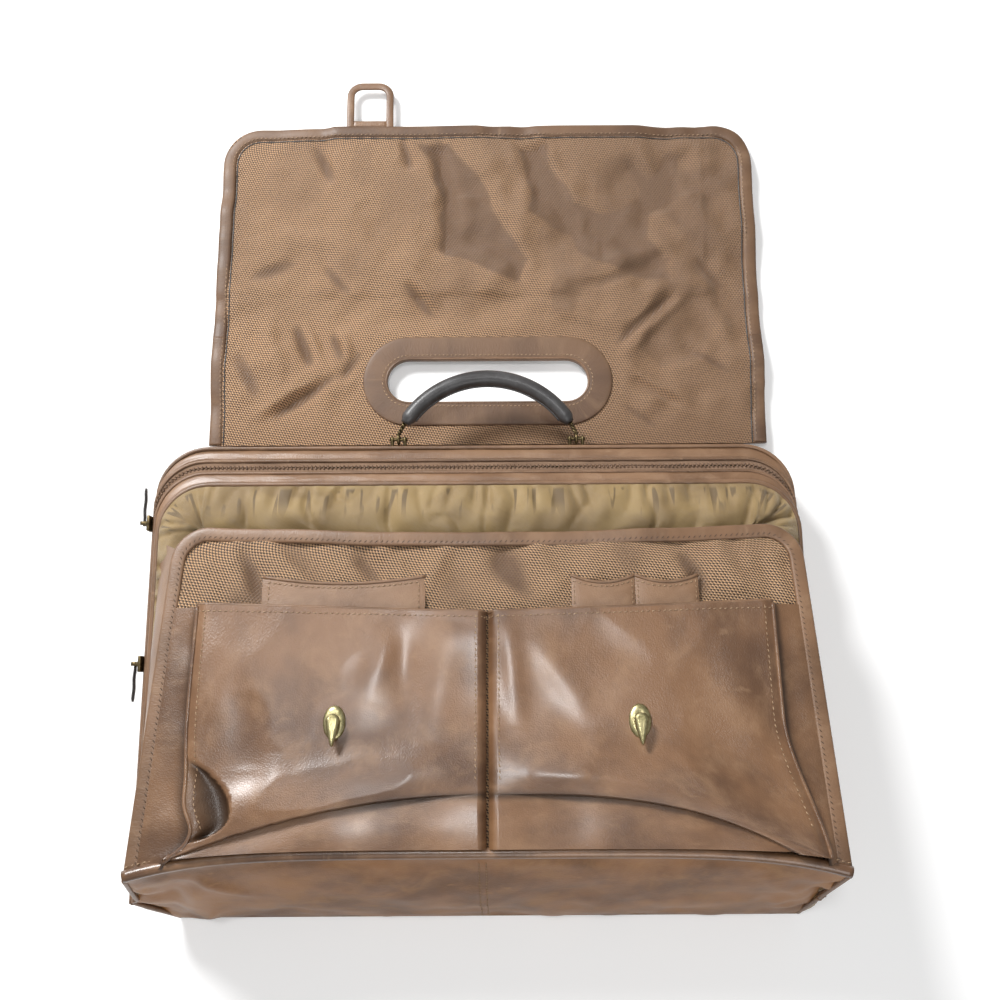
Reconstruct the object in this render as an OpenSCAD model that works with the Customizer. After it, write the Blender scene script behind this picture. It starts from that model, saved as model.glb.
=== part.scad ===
// Soft leather flap-over briefcase, lying open on its back.
// X runs across the case, Y from its bottom to its top, Z up from the surface it lies on.
// The origin is the centre of the back panel's outer face. Everything is in millimetres.

/* [Case] */
// Width of the back panel
case_w = 432; // [390:1:460]
// Length of the back panel, from the case's bottom edge to its top edge
back_l = 339; // [310:1:370]
// Thickness of the back panel
back_t = 3; // [2:0.1:4]
// Height of the rear rim above the back
rear_h = 44; // [40:1:50]
// Distance of the rear rim inside the back panel's top edge
rim_setback = 12; // [10:1:16]
// Width of the zip band across the top
band_w = 29; // [26:1:34]
// Height that the zip band climbs from its rear rim to its front rim
band_rise = 10; // [9:0.5:12]
// Swell of the left gusset beyond the back panel, at the zip
bulge_left = 20; // [10:1:24]
// Swell of the right gusset beyond the back panel, at the zip
bulge_right = 2; // [1:1:10]
// Radius of the rounded top corners
corner_r = 34; // [26:1:42]
// Thickness of the gusset leather across the sides
gusset_t = 2.4; // [1.8:0.1:3]
// Thickness of the bottom leather
bottom_t = 2.8; // [2:0.1:3.4]
// Height of the front bottom edge
front_edge_z = 114; // [110:1:120]
// Distance that the bottom leans back at the front bottom edge
bottom_lean = 44; // [34:1:54]
// Diameter of the piping
piping_d = 2.4; // [1.8:0.1:3]
// Thickness of the stiffening boards
board_t = 1.8; // [1.2:0.1:2.4]
// Margin of the stiffening boards inside the walls
board_margin = 8; // [4:1:14]

/* [Zip] */
// Gap between the two rows of teeth
zip_gap = 0.3; // [0.2:0.05:0.4]
// Height of each row of teeth
teeth_h = 1.4; // [1.2:0.1:1.8]
// Distance that the teeth stand out of the tape
teeth_out = 1.4; // [1:0.1:1.8]
// Length of a slider
slider_l = 11; // [9:0.5:13]
// Height of a slider across the teeth
slider_h = 9; // [7:0.5:10]
// Thickness of a slider
slider_t = 2.2; // [1.8:0.1:2.6]
// Distance of the upper slider below the top corner's start
slider_upper_drop = 6; // [4:1:12]
// Distance of the lower slider below the upper one
slider_spacing = 98; // [60:1:110]
// Length of a zip pull
pull_l = 25; // [18:1:30]
// Width of a zip pull
pull_w = 4; // [3:0.5:5]
// Thickness of a zip pull
pull_t = 1.4; // [1:0.1:1.8]
// Radius of a pull's pin
pull_pin_r = 0.7; // [0.6:0.05:0.9]

/* [Front panel] */
// Distance that the front panel's bottom edge stands out of the back panel's sides
front_out = 3; // [0:0.5:6]
// Distance that the front panel's top edge stands in from the back panel's sides
front_in = 7; // [4:0.5:12]
// Distance of the front panel's top edge from the case's bottom edge
front_top_y = 264; // [250:1:276]
// Height of the front panel's top edge
front_top_z = 84; // [80:1:87]
// Radius of the front panel's top corners
front_r = 26; // [18:1:36]
// Thickness of the front panel's leather and weave
front_t = 2; // [1.6:0.1:2.4]
// Thickness of a lining
lining_t = 1; // [0.8:0.1:1.2]
// Width of the bound edges
binding_w = 10; // [8:0.5:12]
// Thickness of the bound edges
binding_t = 1.4; // [1:0.1:1.6]
// Distance of the front compartment's side walls inside the panel's top corners
side_inset = 3; // [2:0.5:8]
// Distance that the front compartment's side walls stop short of the panel's top edge
side_short = 10; // [6:1:14]
// Clearance between soft pieces that move past each other
soft_gap = 0.3; // [0.25:0.05:0.4]

/* [Pockets] */
// Distance from the panel's bottom edge to the pockets' mouths
pocket_l = 167; // [150:1:176]
// Distance from the panel's bottom edge to the pockets' bottoms
pocket_foot = 8; // [6:1:12]
// Distance of the pockets' outer edges inside the panel's top corners
pocket_inset = 9; // [7:1:24]
// Gap between the two pockets
pocket_split = 3; // [2:0.5:5]
// Depth inside a pocket
pocket_depth = 6.5; // [5.5:0.25:6.75]
// Thickness of the pocket leather
pocket_t = 2; // [1.6:0.1:2.2]
// Width of the left card pocket
card_w = 107; // [90:1:120]
// Width of each of the two right card pockets
pen_w = 41.5; // [34:0.5:46]
// Height of the card pockets' tops above the panel's bottom edge
card_top = 190; // [180:1:196]
// Depth that the card pockets reach down from their tops
card_l = 72; // [50:1:90]
// Thickness of the card pockets
card_t = 1.2; // [0.9:0.1:1.4]
// Distance of the left card pocket's middle from the case's middle
card_left_x = -94; // [-104:1:-86]
// Distance of the right card pockets' middle from the case's middle
card_right_x = 97; // [88:1:104]

/* [Flap] */
// Height of the flap's underside above the surface it lies over
flap_z = 5.5; // [5.2:0.1:6.5]
// Width of the flap
flap_w = 429; // [390:1:450]
// Thickness of the flap's leather
flap_t = 2; // [1.6:0.1:2.2]
// Clearance between a lock's base and the loop that closes over it
loop_clear = 0.9; // [0.8:0.1:1.2]
// Length of the flap down the front of the case
flap_front_l = 176; // [165:1:182]
// Radius of the flap's free corners
flap_r = 30; // [20:1:40]
// Angle that the flap's top turns when it closes
fold_angle = 103; // [101:0.5:103]
// Length of the handle slot
slot_l = 156; // [154:1:170]
// Distance of the slot's near edge from the flap's fold
slot_near = 29; // [28:0.5:29.5]
// Distance of the slot's far edge from the flap's fold
slot_far = 64; // [63.5:0.5:68]
// Width of the leather patch round the slot
patch_w = 18; // [12:1:19]
// Thickness of the patch
patch_t = 1.4; // [1:0.1:1.6]

/* [Loops and locks] */
// Width of a loop
loop_w = 38; // [36:0.5:42]
// Length of a loop
loop_l = 40; // [38:0.5:44]
// Width of a loop's rim
loop_rim = 6; // [5:0.25:6.5]
// Thickness of a loop
loop_t = 2.2; // [1.8:0.1:2.4]
// Distance of the loops and locks from the middle
lock_x = 95; // [70:1:120]
// Distance of a lock's axis above the middle of its loop's opening
lock_offset = 5; // [4:0.5:6]
// Width of a lock's base
lock_w = 14; // [12:0.5:16]
// Length of a lock's base
lock_l = 21; // [19:0.5:23]
// Thickness of a lock's base
lock_t = 2.4; // [2:0.1:2.6]
// Radius of a lock's spindle
spindle_r = 2; // [1.6:0.1:2.4]
// Clearance round a spindle or pin
pin_gap = 0.25; // [0.2:0.05:0.35]
// Reach of a lock's lever from its axis
lever_reach = 15.5; // [14.5:0.25:16]
// Thickness of a lever
lever_t = 3; // [2.4:0.1:3.6]

/* [Handle] */
// Distance between the middles of the two handle anchors
handle_span = 129; // [120:1:132]
// Distance from the anchors' pins to the top of the handle's arch
handle_rise = 46; // [42:1:48]
// Diameter of the grip
grip_d = 12; // [10:0.5:12.5]
// Diameter of the core inside the grip
grip_core_d = 5.6; // [4:0.2:6]
// Distance of the anchors' pins out of the case's top wall
pin_out = 7; // [6:0.25:8]
// Distance of the anchors' pins below the rear rim, along the wall
pin_drop = 4; // [3.5:0.25:5]
// Radius of the anchors' pins
anchor_pin_r = 1.5; // [1.2:0.1:1.8]
// Width of an anchor
anchor_w = 13; // [12:0.5:15]

/* [Hidden] */
$fn = 48;

leather_colour = [0.50, 0.31, 0.19];
dark_leather = [0.40, 0.24, 0.14];
lining_colour = [0.62, 0.43, 0.28];
gold_lining = [0.60, 0.45, 0.24];
brass_colour = [0.58, 0.50, 0.25];
grip_colour = [0.16, 0.14, 0.13];
board_colour = [0.55, 0.50, 0.42];
zip_colour = [0.36, 0.24, 0.17];

skin = 0.01;
past = 1;
hull_fn = 32;

// Heights of the zip band, and the outlines of the case at those heights.
// An outline is [left x, right x, top y, corner radius].
zip_z = rear_h + band_rise / 2;
front_rim_z = rear_h + band_rise;
half_w = case_w / 2;
front_w = case_w + 2 * front_out;
front_top_w = case_w - 2 * front_in;
pocket_half = front_top_w / 2 - pocket_inset;
top_y = back_l / 2;
rim_y = top_y - rim_setback;
share_rim = 0.95;
share_front = 0.7;
outline_back = [-half_w, half_w, top_y, corner_r];
outline_rear = [-half_w - bulge_left * share_rim, half_w + bulge_right * share_rim, rim_y, corner_r];
outline_zip = [-half_w - bulge_left, half_w + bulge_right, rim_y - band_w / 2, corner_r];
outline_front = [-half_w - bulge_left * share_front, half_w + bulge_right * share_front,
                 rim_y - band_w, corner_r];
tape_share = 0.45;
band_inset = gusset_t * 2;

// The top wall leans forward from the back panel to the rear rim.
wall_lean = atan(rim_setback / (rear_h - back_t));
wall_l = norm([rim_setback, rear_h - back_t]);
wall_depth = gusset_t * cos(wall_lean);
plate_w = 170;
plate_h = 16;
plate_t = 1.2;
plate_drop = 6;

// The front panel's plane.
panel_y = bottom_y(front_edge_z);
panel_tilt = atan((front_edge_z - front_top_z) / (front_top_y - bottom_lean));
panel_l = norm([front_edge_z - front_top_z, front_top_y - bottom_lean]);
panel_under = front_t + lining_t;
lining_inset = 1.5;
side_x = front_top_w / 2 - side_inset;

// The flap's folds, and where its loops come down on the front panel.
flap_full = flap_t + lining_t;
fold_clear = 0.2;
fold_y = top_y + flap_full + patch_t + fold_clear;
pocket_top = pocket_depth + pocket_t;
bend_w = pocket_top + lock_t + loop_clear + loop_t + soft_gap;
fold_from_panel = [fold_y - panel_y, flap_z - front_edge_z];
flap_top_l = (bend_w - fold_from_panel[0] * sin(panel_tilt) - fold_from_panel[1] * cos(panel_tilt))
    / sin(fold_angle + panel_tilt);
bend_y = fold_y + flap_top_l;
edge_y = bend_y + flap_front_l;
bend_angle = 180 - panel_tilt - fold_angle;
bend_v = fold_from_panel[0] * cos(panel_tilt) - fold_from_panel[1] * sin(panel_tilt)
    + flap_top_l * cos(fold_angle + panel_tilt);
opening_l = loop_l - loop_rim * 1.4;
opening_mid = loop_l - loop_rim - opening_l / 2;
lock_v = bend_v - flap_front_l - soft_gap - opening_mid + lock_offset;
lever_w = bend_w + soft_gap;
lock_back_t = 0.8;

// The handle's pins, and the arc of its grip seen along the case.
link_w = 5;
link_splay = 4.5;
link_reach = 12;
pin_s = wall_l - pin_drop;
pin_y = top_y - pin_s * sin(wall_lean) + pin_out * cos(wall_lean);
pin_z = back_t + pin_s * cos(wall_lean) + pin_out * sin(wall_lean);
grip_end_x = handle_span / 2 - link_splay;
grip_sag = handle_rise - link_reach;
grip_r = (grip_end_x * grip_end_x + grip_sag * grip_sag) / (2 * grip_sag);
grip_sweep = 2 * asin(grip_end_x / grip_r);

slider_upper_y = outline_zip[2] - corner_r - slider_upper_drop;
slider_x = outline_zip[0] - teeth_out - soft_gap * 1.5;
eye_wall = 0.8;
eye_r = pull_pin_r + pin_gap + eye_wall;
pull_x = slider_x - slider_t - eye_r - pin_gap;

function bottom_y(z) = -back_l / 2 + z * bottom_lean / front_edge_z;
function grow(o, d) = [o[0] - d, o[1] + d, o[2] + d, o[3] + d];
function thin(o, dx, dy) = [o[0] + dx, o[1] - dx, o[2] - dy, o[3]];
function widen(o, d) = [o[0] - d, o[1] + d, o[2] + d, o[3]];
function between(a, b, k) = [for (i = [0:3]) a[i] + (b[i] - a[i]) * k];
function arc(c, r, from, to) = [for (a = [from:(to - from) / 8:to]) c + r * [cos(a), sin(a)]];

// Extrudes a drawing in Y and Z along X.
module across(x0, x1) {
    translate([x0, 0, 0]) rotate([90, 0, 90]) linear_extrude(x1 - x0) children();
}

// Flat outline of the case, with its two top corners rounded.
module plan(o) {
    low = bottom_y(0) - back_t - piping_d;
    translate([o[0], low]) square([o[1] - o[0], o[2] - o[3] - low]);
    translate([o[0] + o[3], low]) square([o[1] - o[0] - 2 * o[3], o[2] - low]);
    for (x = [o[0] + o[3], o[1] - o[3]]) translate([x, o[2] - o[3]]) circle(r = o[3]);
}

module slab(o, z) {
    translate([0, 0, z]) linear_extrude(skin) plan(o, $fn = hull_fn);
}

// Everything on the outer side of the bottom leather's inner face.
module bottom_cut() {
    across(-case_w, case_w) polygon([
        [bottom_y(-past) + bottom_t, -past], [bottom_y(front_edge_z) + bottom_t, front_edge_z],
        [-back_l, front_edge_z], [-back_l, -past]]);
}

// The case seen from its bottom end, wide enough for the swell of the gussets.
module end_shape() {
    outlines = [outline_rear, outline_zip, outline_front];
    heights = [rear_h, zip_z, front_rim_z];
    translate([0, back_l, 0]) rotate([90, 0, 0]) linear_extrude(2 * back_l) polygon(concat(
        [[half_w, 0], [-half_w, 0]],
        [for (i = [0:2]) [outlines[i][0], heights[i]]],
        [[-front_w / 2, front_edge_z], [front_w / 2, front_edge_z]],
        [for (i = [2:-1:0]) [outlines[i][1], heights[i]]]));
}

// A band of wall between two outlines, open at its bottom edge, its top and its floor.
// Its outer face can stand out of the outlines.
module band(a, za, b, zb, dx, dy, out = 0) {
    k = past / (zb - za);
    difference() {
        hull() {
            slab(widen(a, out), za);
            slab(widen(b, out), zb - skin);
        }
        hull() {
            slab(thin(between(a, b, -k), dx, dy), za - past);
            slab(thin(between(a, b, 1 + k), dx, dy), zb + past - skin);
        }
        bottom_cut();
    }
}

// A U-shaped bead round an outline, which can stand clear of it at the sides.
module bead(o, z, h, out, side = 0) {
    difference() {
        translate([0, 0, z]) linear_extrude(h) difference() {
            plan(grow(o, out));
            plan(widen(o, side));
        }
        bottom_cut();
    }
}

// Places drawings on the front panel: X across, Y up the panel, Z out of its face.
module on_panel(w = 0) {
    translate([0, panel_y, front_edge_z]) rotate([-panel_tilt, 0, 0]) translate([0, 0, w]) children();
}

// The front panel's outline, inset on its sides and top.
module panel_plan(inset, foot = 0) {
    b = front_w / 2 - inset;
    t = front_top_w / 2 - inset;
    h = panel_l - inset;
    r = front_r - inset;
    polygon(concat([[-b, foot], [b, foot]], arc([t - r, h - r], r, 0, 90), arc([r - t, h - r], r, 90, 180)));
}

// Places drawings on the case's top wall: X across, Y out of the wall, Z up the wall.
module on_wall() {
    translate([0, top_y, back_t]) rotate([wall_lean, 0, 0]) children();
}

// Rear half of the case.

module back_panel() {
    color(leather_colour) linear_extrude(back_t) difference() {
        plan(outline_back);
        translate([-case_w, -back_l]) square([2 * case_w, back_l + bottom_y(back_t) + bottom_t]);
    }
}

module back_board() {
    color(board_colour) translate([0, 0, back_t]) linear_extrude(board_t) difference() {
        plan(thin(outline_back, gusset_t + board_margin, gusset_t + board_margin));
        translate([-case_w, -back_l])
            square([2 * case_w, back_l + bottom_y(back_t) + bottom_t + board_margin]);
    }
}

module bottom_rear() {
    top = zip_z - zip_gap / 2;
    color(dark_leather) intersection() {
        across(-case_w, case_w) polygon([
            [bottom_y(0), 0], [bottom_y(0) + bottom_t, 0],
            [bottom_y(top) + bottom_t, top], [bottom_y(top), top]]);
        end_shape();
    }
}

module bottom_board() {
    rest = 1;
    low = back_t + board_t + rest;
    top = rear_h - 2 * rest;
    face = bottom_t + soft_gap;
    color(board_colour) across(-half_w + board_margin, half_w - board_margin) polygon([
        [bottom_y(low) + face, low], [bottom_y(low) + face + board_t, low],
        [bottom_y(top) + face + board_t, top], [bottom_y(top) + face, top]]);
}

module gusset_rear() {
    color(leather_colour) band(outline_back, back_t, outline_rear, rear_h, gusset_t, gusset_t);
}

module rim_strip_rear() {
    mid = between(outline_rear, outline_zip, tape_share);
    color(leather_colour)
        band(outline_rear, rear_h, mid, rear_h + (zip_z - rear_h) * tape_share, gusset_t, band_inset);
}

module piping_rear() {
    swell = (outline_rear[0] - outline_zip[0]) * piping_d / (zip_z - rear_h);
    color(dark_leather) bead(outline_rear, rear_h, piping_d, piping_d, swell + 2 * skin);
}

module zip_tape_rear() {
    rise = zip_z - rear_h;
    top = zip_z - zip_gap / 2;
    foot_share = (top - teeth_h - rear_h) / rise;
    mid = between(outline_rear, outline_zip, tape_share);
    foot = between(outline_rear, outline_zip, foot_share);
    color(zip_colour) {
        band(mid, rear_h + rise * tape_share, foot, top - teeth_h, gusset_t, band_inset);
        band(foot, top - teeth_h, outline_zip, top, gusset_t, band_inset, teeth_out);
    }
}

module handle_plate() {
    color("silver") on_wall()
        translate([-plate_w / 2, -wall_depth - soft_gap - plate_t, wall_l - plate_h - plate_drop])
            cube([plate_w, plate_t, plate_h]);
}

module handle_anchors() {
    lug_t = (anchor_w - link_w) / 2 - 2 * soft_gap;
    lug_h = 5;
    foot_h = 16;
    foot_t = 1.2;
    color(brass_colour) on_wall() for (s = [-1, 1]) translate([s * handle_span / 2, skin, pin_s]) {
        translate([-anchor_w / 2, 0, -foot_h + lug_h / 2]) cube([anchor_w, foot_t, foot_h]);
        for (m = [-1, 1]) translate([m * (anchor_w - lug_t) / 2 - lug_t / 2, 0, -lug_h / 2])
            cube([lug_t, pin_out + lug_h / 2, lug_h]);
        translate([-anchor_w / 2, pin_out, 0]) rotate([0, 90, 0]) cylinder(r = anchor_pin_r, h = anchor_w);
    }
}

// Joins the back panel's top edge to the flap's fold.
module fold_strip() {
    under = flap_z - soft_gap;
    tuck = 2;
    x = half_w - corner_r;
    color(leather_colour) across(-x, x) polygon([
        [top_y, 0], [fold_y + tuck, under - flap_t], [fold_y + tuck, under],
        [fold_y, under], [top_y, back_t]]);
}

// Front half of the case: the wall of the zipped compartment and the front compartment's sides.

module bottom_front() {
    low = zip_z + zip_gap / 2;
    top_out = front_edge_z - (panel_under + soft_gap) / cos(panel_tilt);
    top_in = top_out - bottom_t * tan(panel_tilt);
    color(dark_leather) intersection() {
        across(-case_w, case_w) polygon([
            [bottom_y(low), low], [bottom_y(low) + bottom_t, low],
            [bottom_y(top_in) + bottom_t, top_in], [bottom_y(top_out), top_out]]);
        end_shape();
    }
}

module partition() {
    color(gold_lining) difference() {
        translate([0, 0, front_rim_z]) linear_extrude(gusset_t) plan(outline_front);
        bottom_cut();
    }
}

module rim_strip_front() {
    mid = between(outline_zip, outline_front, 1 - tape_share);
    color(leather_colour)
        band(mid, front_rim_z - (front_rim_z - zip_z) * tape_share, outline_front, front_rim_z,
             gusset_t, band_inset);
}

module piping_front() {
    color(dark_leather) bead(outline_front, front_rim_z, piping_d * 1.3, piping_d);
}

module zip_tape_front() {
    rise = front_rim_z - zip_z;
    low = zip_z + zip_gap / 2;
    head_share = (low + teeth_h - zip_z) / rise;
    mid = between(outline_zip, outline_front, 1 - tape_share);
    head = between(outline_zip, outline_front, head_share);
    color(zip_colour) {
        band(outline_zip, low, head, low + teeth_h, gusset_t, band_inset, teeth_out);
        band(head, low + teeth_h, mid, front_rim_z - rise * tape_share, gusset_t, band_inset);
    }
}

module gusset_front(s) {
    floor_z = front_rim_z + gusset_t;
    gap = (panel_under + soft_gap) / cos(panel_tilt);
    y0 = bottom_y(floor_z) + bottom_t;
    y1 = bottom_y(front_edge_z) + bottom_t;
    y2 = front_top_y - back_l / 2 - side_short;
    function under(y) = front_edge_z - (y - panel_y) * tan(panel_tilt) - gap;
    color(leather_colour) across(s > 0 ? side_x - gusset_t : -side_x, s > 0 ? side_x : gusset_t - side_x)
        polygon([[y0, floor_z], [y2 + side_short / 2, floor_z], [y2, under(y2)], [y1, under(y1)]]);
}

module gusset_front_left() gusset_front(-1);
module gusset_front_right() gusset_front(1);

// Front panel and its pockets.

module front_panel() {
    color(lining_colour) on_panel(-front_t) linear_extrude(front_t) panel_plan(0);
}

module front_lining() {
    color(gold_lining) on_panel(-panel_under) linear_extrude(lining_t) panel_plan(lining_inset, lining_inset);
}

module front_binding() {
    color(dark_leather) on_panel() linear_extrude(binding_t) difference() {
        panel_plan(0, pocket_foot);
        panel_plan(binding_w, 0);
    }
}

module bottom_piping() {
    r = piping_d * 0.9;
    color(dark_leather) on_panel() translate([-front_w / 2, r, r]) rotate([0, 90, 0])
        cylinder(r = r, h = front_w);
}

module pocket_face(s) {
    inner = pocket_split / 2;
    color(leather_colour) on_panel(pocket_depth) difference() {
        translate([s > 0 ? inner : -pocket_half, pocket_foot, 0])
            cube([pocket_half - inner, pocket_l - pocket_foot, pocket_t]);
        translate([s * lock_x, lock_v, -past]) cylinder(r = spindle_r + pin_gap, h = pocket_t + 2 * past);
    }
}

module pocket_gusset(s) {
    inner = pocket_split / 2;
    x0 = s > 0 ? inner : -pocket_half;
    w = pocket_half - inner;
    color(leather_colour) on_panel() linear_extrude(pocket_depth) difference() {
        translate([x0, pocket_foot]) square([w, pocket_l - pocket_foot - pocket_t]);
        translate([x0 + pocket_t, pocket_foot + pocket_t]) square([w - 2 * pocket_t, pocket_l]);
    }
}

module card_plate(x, w) {
    dip = 5;
    r = (w * w / 4 + dip * dip) / (2 * dip);
    color(dark_leather) on_panel() difference() {
        translate([x - w / 2, card_top - card_l, 0]) cube([w, card_l, card_t]);
        translate([x, card_top - dip + r, -past]) cylinder(r = r, h = card_t + 2 * past, $fn = 96);
    }
}

module card_pocket_left() card_plate(card_left_x, card_w);

module card_pocket_right() {
    for (s = [-1, 1]) card_plate(card_right_x + s * (pen_w + soft_gap) / 2, pen_w);
}

// An oval with its long side along Y.
module oval(w, l) {
    translate([-w / 2, -(l - w) / 2]) square([w, l - w]);
    for (s = [-1, 1]) translate([0, s * (l - w) / 2]) circle(d = w);
}

module lock_base(s) {
    color(brass_colour) on_panel(pocket_top) translate([s * lock_x, lock_v, 0]) difference() {
        linear_extrude(lock_t) oval(lock_w, lock_l);
        translate([0, 0, -past]) cylinder(r = spindle_r + pin_gap, h = lock_t + 2 * past);
    }
}

module lock_back(s) {
    inset = 1;
    color(brass_colour) on_panel(pocket_depth - lock_back_t) translate([s * lock_x, lock_v, 0]) difference() {
        linear_extrude(lock_back_t) oval(lock_w - 2 * inset, lock_l - 2 * inset);
        translate([0, 0, -past]) cylinder(r = spindle_r + pin_gap, h = lock_back_t + 2 * past);
    }
}

module lock_lever(s) {
    head_r = 4.6;
    tip_r = 2.4;
    rivet_t = 0.9;
    foot = pocket_depth - lock_back_t - pin_gap;
    tip_y = lever_reach - tip_r;
    color(brass_colour) on_panel() translate([s * lock_x, lock_v, 0]) {
        translate([0, 0, foot - rivet_t]) cylinder(r = spindle_r + 1, h = rivet_t);
        translate([0, 0, foot]) cylinder(r = spindle_r, h = lever_w - foot);
        translate([0, 0, lever_w]) linear_extrude(lever_t) {
            circle(r = head_r);
            translate([0, -tip_y]) circle(r = tip_r);
            polygon([[-head_r, 0], [head_r, 0], [tip_r, -tip_y], [-tip_r, -tip_y]]);
        }
    }
}

// Flap, its handle slot and its loops.

module slot_plan(margin) {
    r = (slot_far - slot_near) / 2 + margin;
    x = slot_l / 2 + margin - r;
    translate([0, fold_y + (slot_near + slot_far) / 2]) {
        translate([-x, -r]) square([2 * x, 2 * r]);
        for (s = [-1, 1]) translate([s * x, 0]) circle(r = r);
    }
}

module flap_top_plan(inset, foot) {
    translate([-flap_w / 2 + inset, fold_y + foot]) square([flap_w - 2 * inset, flap_top_l - foot - soft_gap]);
}

// The groove at the bend, which lets the flap's two halves fold towards each other.
module bend_groove() {
    near = soft_gap / 2;
    far = near + (flap_full + past) * tan(bend_angle / 2);
    low = flap_z - past;
    high = flap_z + flap_full + past;
    across(-case_w, case_w) polygon([
        [bend_y - near, low], [bend_y + near, low], [bend_y + near, flap_z],
        [bend_y + far, high], [bend_y - far, high], [bend_y - near, flap_z]]);
}

module flap_top_leather() {
    color(leather_colour) difference() {
        translate([0, 0, flap_z]) linear_extrude(flap_t) difference() {
            flap_top_plan(0, soft_gap);
            slot_plan(0);
        }
        bend_groove();
    }
}

module flap_top_lining() {
    color(lining_colour) difference() {
        translate([0, 0, flap_z + flap_t]) linear_extrude(lining_t) difference() {
            flap_top_plan(0, flap_full);
            slot_plan(0);
        }
        bend_groove();
    }
}

module slot_patch() {
    color(leather_colour) translate([0, 0, flap_z + flap_full]) linear_extrude(patch_t) difference() {
        slot_plan(patch_w);
        slot_plan(0);
    }
}

module flap_top_binding() {
    color(dark_leather) for (s = [-1, 1])
        translate([s * (flap_w - binding_w) / 2 - binding_w / 2, fold_y + flap_full, flap_z + flap_full])
            cube([binding_w, flap_top_l - 3 * flap_full, binding_t]);
}

module flap_front_plan(inset, foot) {
    x = flap_w / 2 - inset;
    y = edge_y - inset;
    r = flap_r - inset;
    polygon(concat([[-x, bend_y + foot], [x, bend_y + foot]],
                   arc([x - r, y - r], r, 0, 90), arc([r - x, y - r], r, 90, 180)));
}

module flap_front_leather() {
    color(leather_colour) difference() {
        translate([0, 0, flap_z]) linear_extrude(flap_t) flap_front_plan(0, soft_gap / 2);
        bend_groove();
    }
}

module flap_front_lining() {
    color(lining_colour) translate([0, 0, flap_z + flap_t]) linear_extrude(lining_t)
        flap_front_plan(0, flap_full * 1.5);
}

module flap_front_binding() {
    color(dark_leather) translate([0, 0, flap_z + flap_full]) linear_extrude(binding_t) difference() {
        flap_front_plan(0, 3 * flap_full);
        flap_front_plan(binding_w, 0);
    }
}

module loop_plan() {
    r = 9;
    difference() {
        union() {
            translate([-loop_w / 2, 0]) square([loop_w, loop_l - r]);
            translate([r - loop_w / 2, 0]) square([loop_w - 2 * r, loop_l]);
            for (s = [-1, 1]) translate([s * (loop_w / 2 - r), loop_l - r]) circle(r = r);
        }
        translate([-loop_w / 2 + loop_rim, opening_mid - opening_l / 2])
            square([loop_w - 2 * loop_rim, opening_l]);
    }
}

// Folded beneath the flap when folded is true.
module loop(s, folded) {
    color(dark_leather) translate([s * lock_x, edge_y, flap_z]) rotate([folded ? 180 : 0, 0, 0])
        translate([0, soft_gap, soft_gap]) linear_extrude(loop_t) loop_plan();
}

module loop_left() loop(-1, false);
module loop_right() loop(1, true);

// Handle, pointing away from the case's top wall.

module grip_arc(d) {
    translate([0, pin_y + handle_rise - grip_r, pin_z]) rotate([0, 0, 90 - grip_sweep / 2])
        rotate_extrude(angle = grip_sweep) translate([grip_r, 0]) circle(d = d);
}

module handle_grip() {
    color(grip_colour) difference() {
        grip_arc(grip_d);
        grip_arc(grip_core_d + 2 * pin_gap);
    }
}

module handle_core() {
    color("silver") grip_arc(grip_core_d);
}

module handle_links() {
    hub_wall = 1.5;
    hub_r = anchor_pin_r + pin_gap + hub_wall;
    rod_r = 1.4;
    rod_l = norm([link_splay, link_reach]) - 1.5 * pin_gap;
    color(brass_colour) for (s = [-1, 1]) translate([s * handle_span / 2, pin_y, pin_z]) difference() {
        union() {
            translate([-link_w / 2, 0, 0]) rotate([0, 90, 0]) cylinder(r = hub_r, h = link_w);
            rotate([0, 0, s * atan(link_splay / link_reach)]) rotate([-90, 0, 0]) cylinder(r = rod_r, h = rod_l);
        }
        translate([-link_w, 0, 0]) rotate([0, 90, 0])
            cylinder(r = anchor_pin_r + pin_gap, h = 2 * link_w);
    }
}

// Zip sliders and pulls on the left side.

module slider(y) {
    ear_h = 1.4;
    ear_l = 3;
    ear_out = eye_r + pull_pin_r + 2 * pin_gap;
    ear_z = pull_w / 2 + pin_gap;
    color(brass_colour) {
        translate([slider_x - slider_t, y - slider_l / 2, zip_z - slider_h / 2])
            cube([slider_t, slider_l, slider_h]);
        for (z = [zip_z - ear_z - ear_h, zip_z + ear_z])
            translate([slider_x - slider_t - ear_out, y - ear_l / 2, z]) cube([ear_out, ear_l, ear_h]);
        translate([pull_x, y, zip_z - ear_z - ear_h]) cylinder(r = pull_pin_r, h = 2 * (ear_z + ear_h));
    }
}

// Points up the case when side is 1, and down it when side is -1.
module pull(y, side) {
    color(grip_colour) translate([pull_x, y, zip_z - pull_w / 2]) difference() {
        union() {
            cylinder(r = eye_r, h = pull_w);
            translate([-eye_r, side > 0 ? 0 : -pull_l, 0]) cube([pull_t, pull_l, pull_w]);
        }
        translate([0, 0, -past]) cylinder(r = pull_pin_r + pin_gap, h = pull_w + 2 * past);
    }
}

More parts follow.
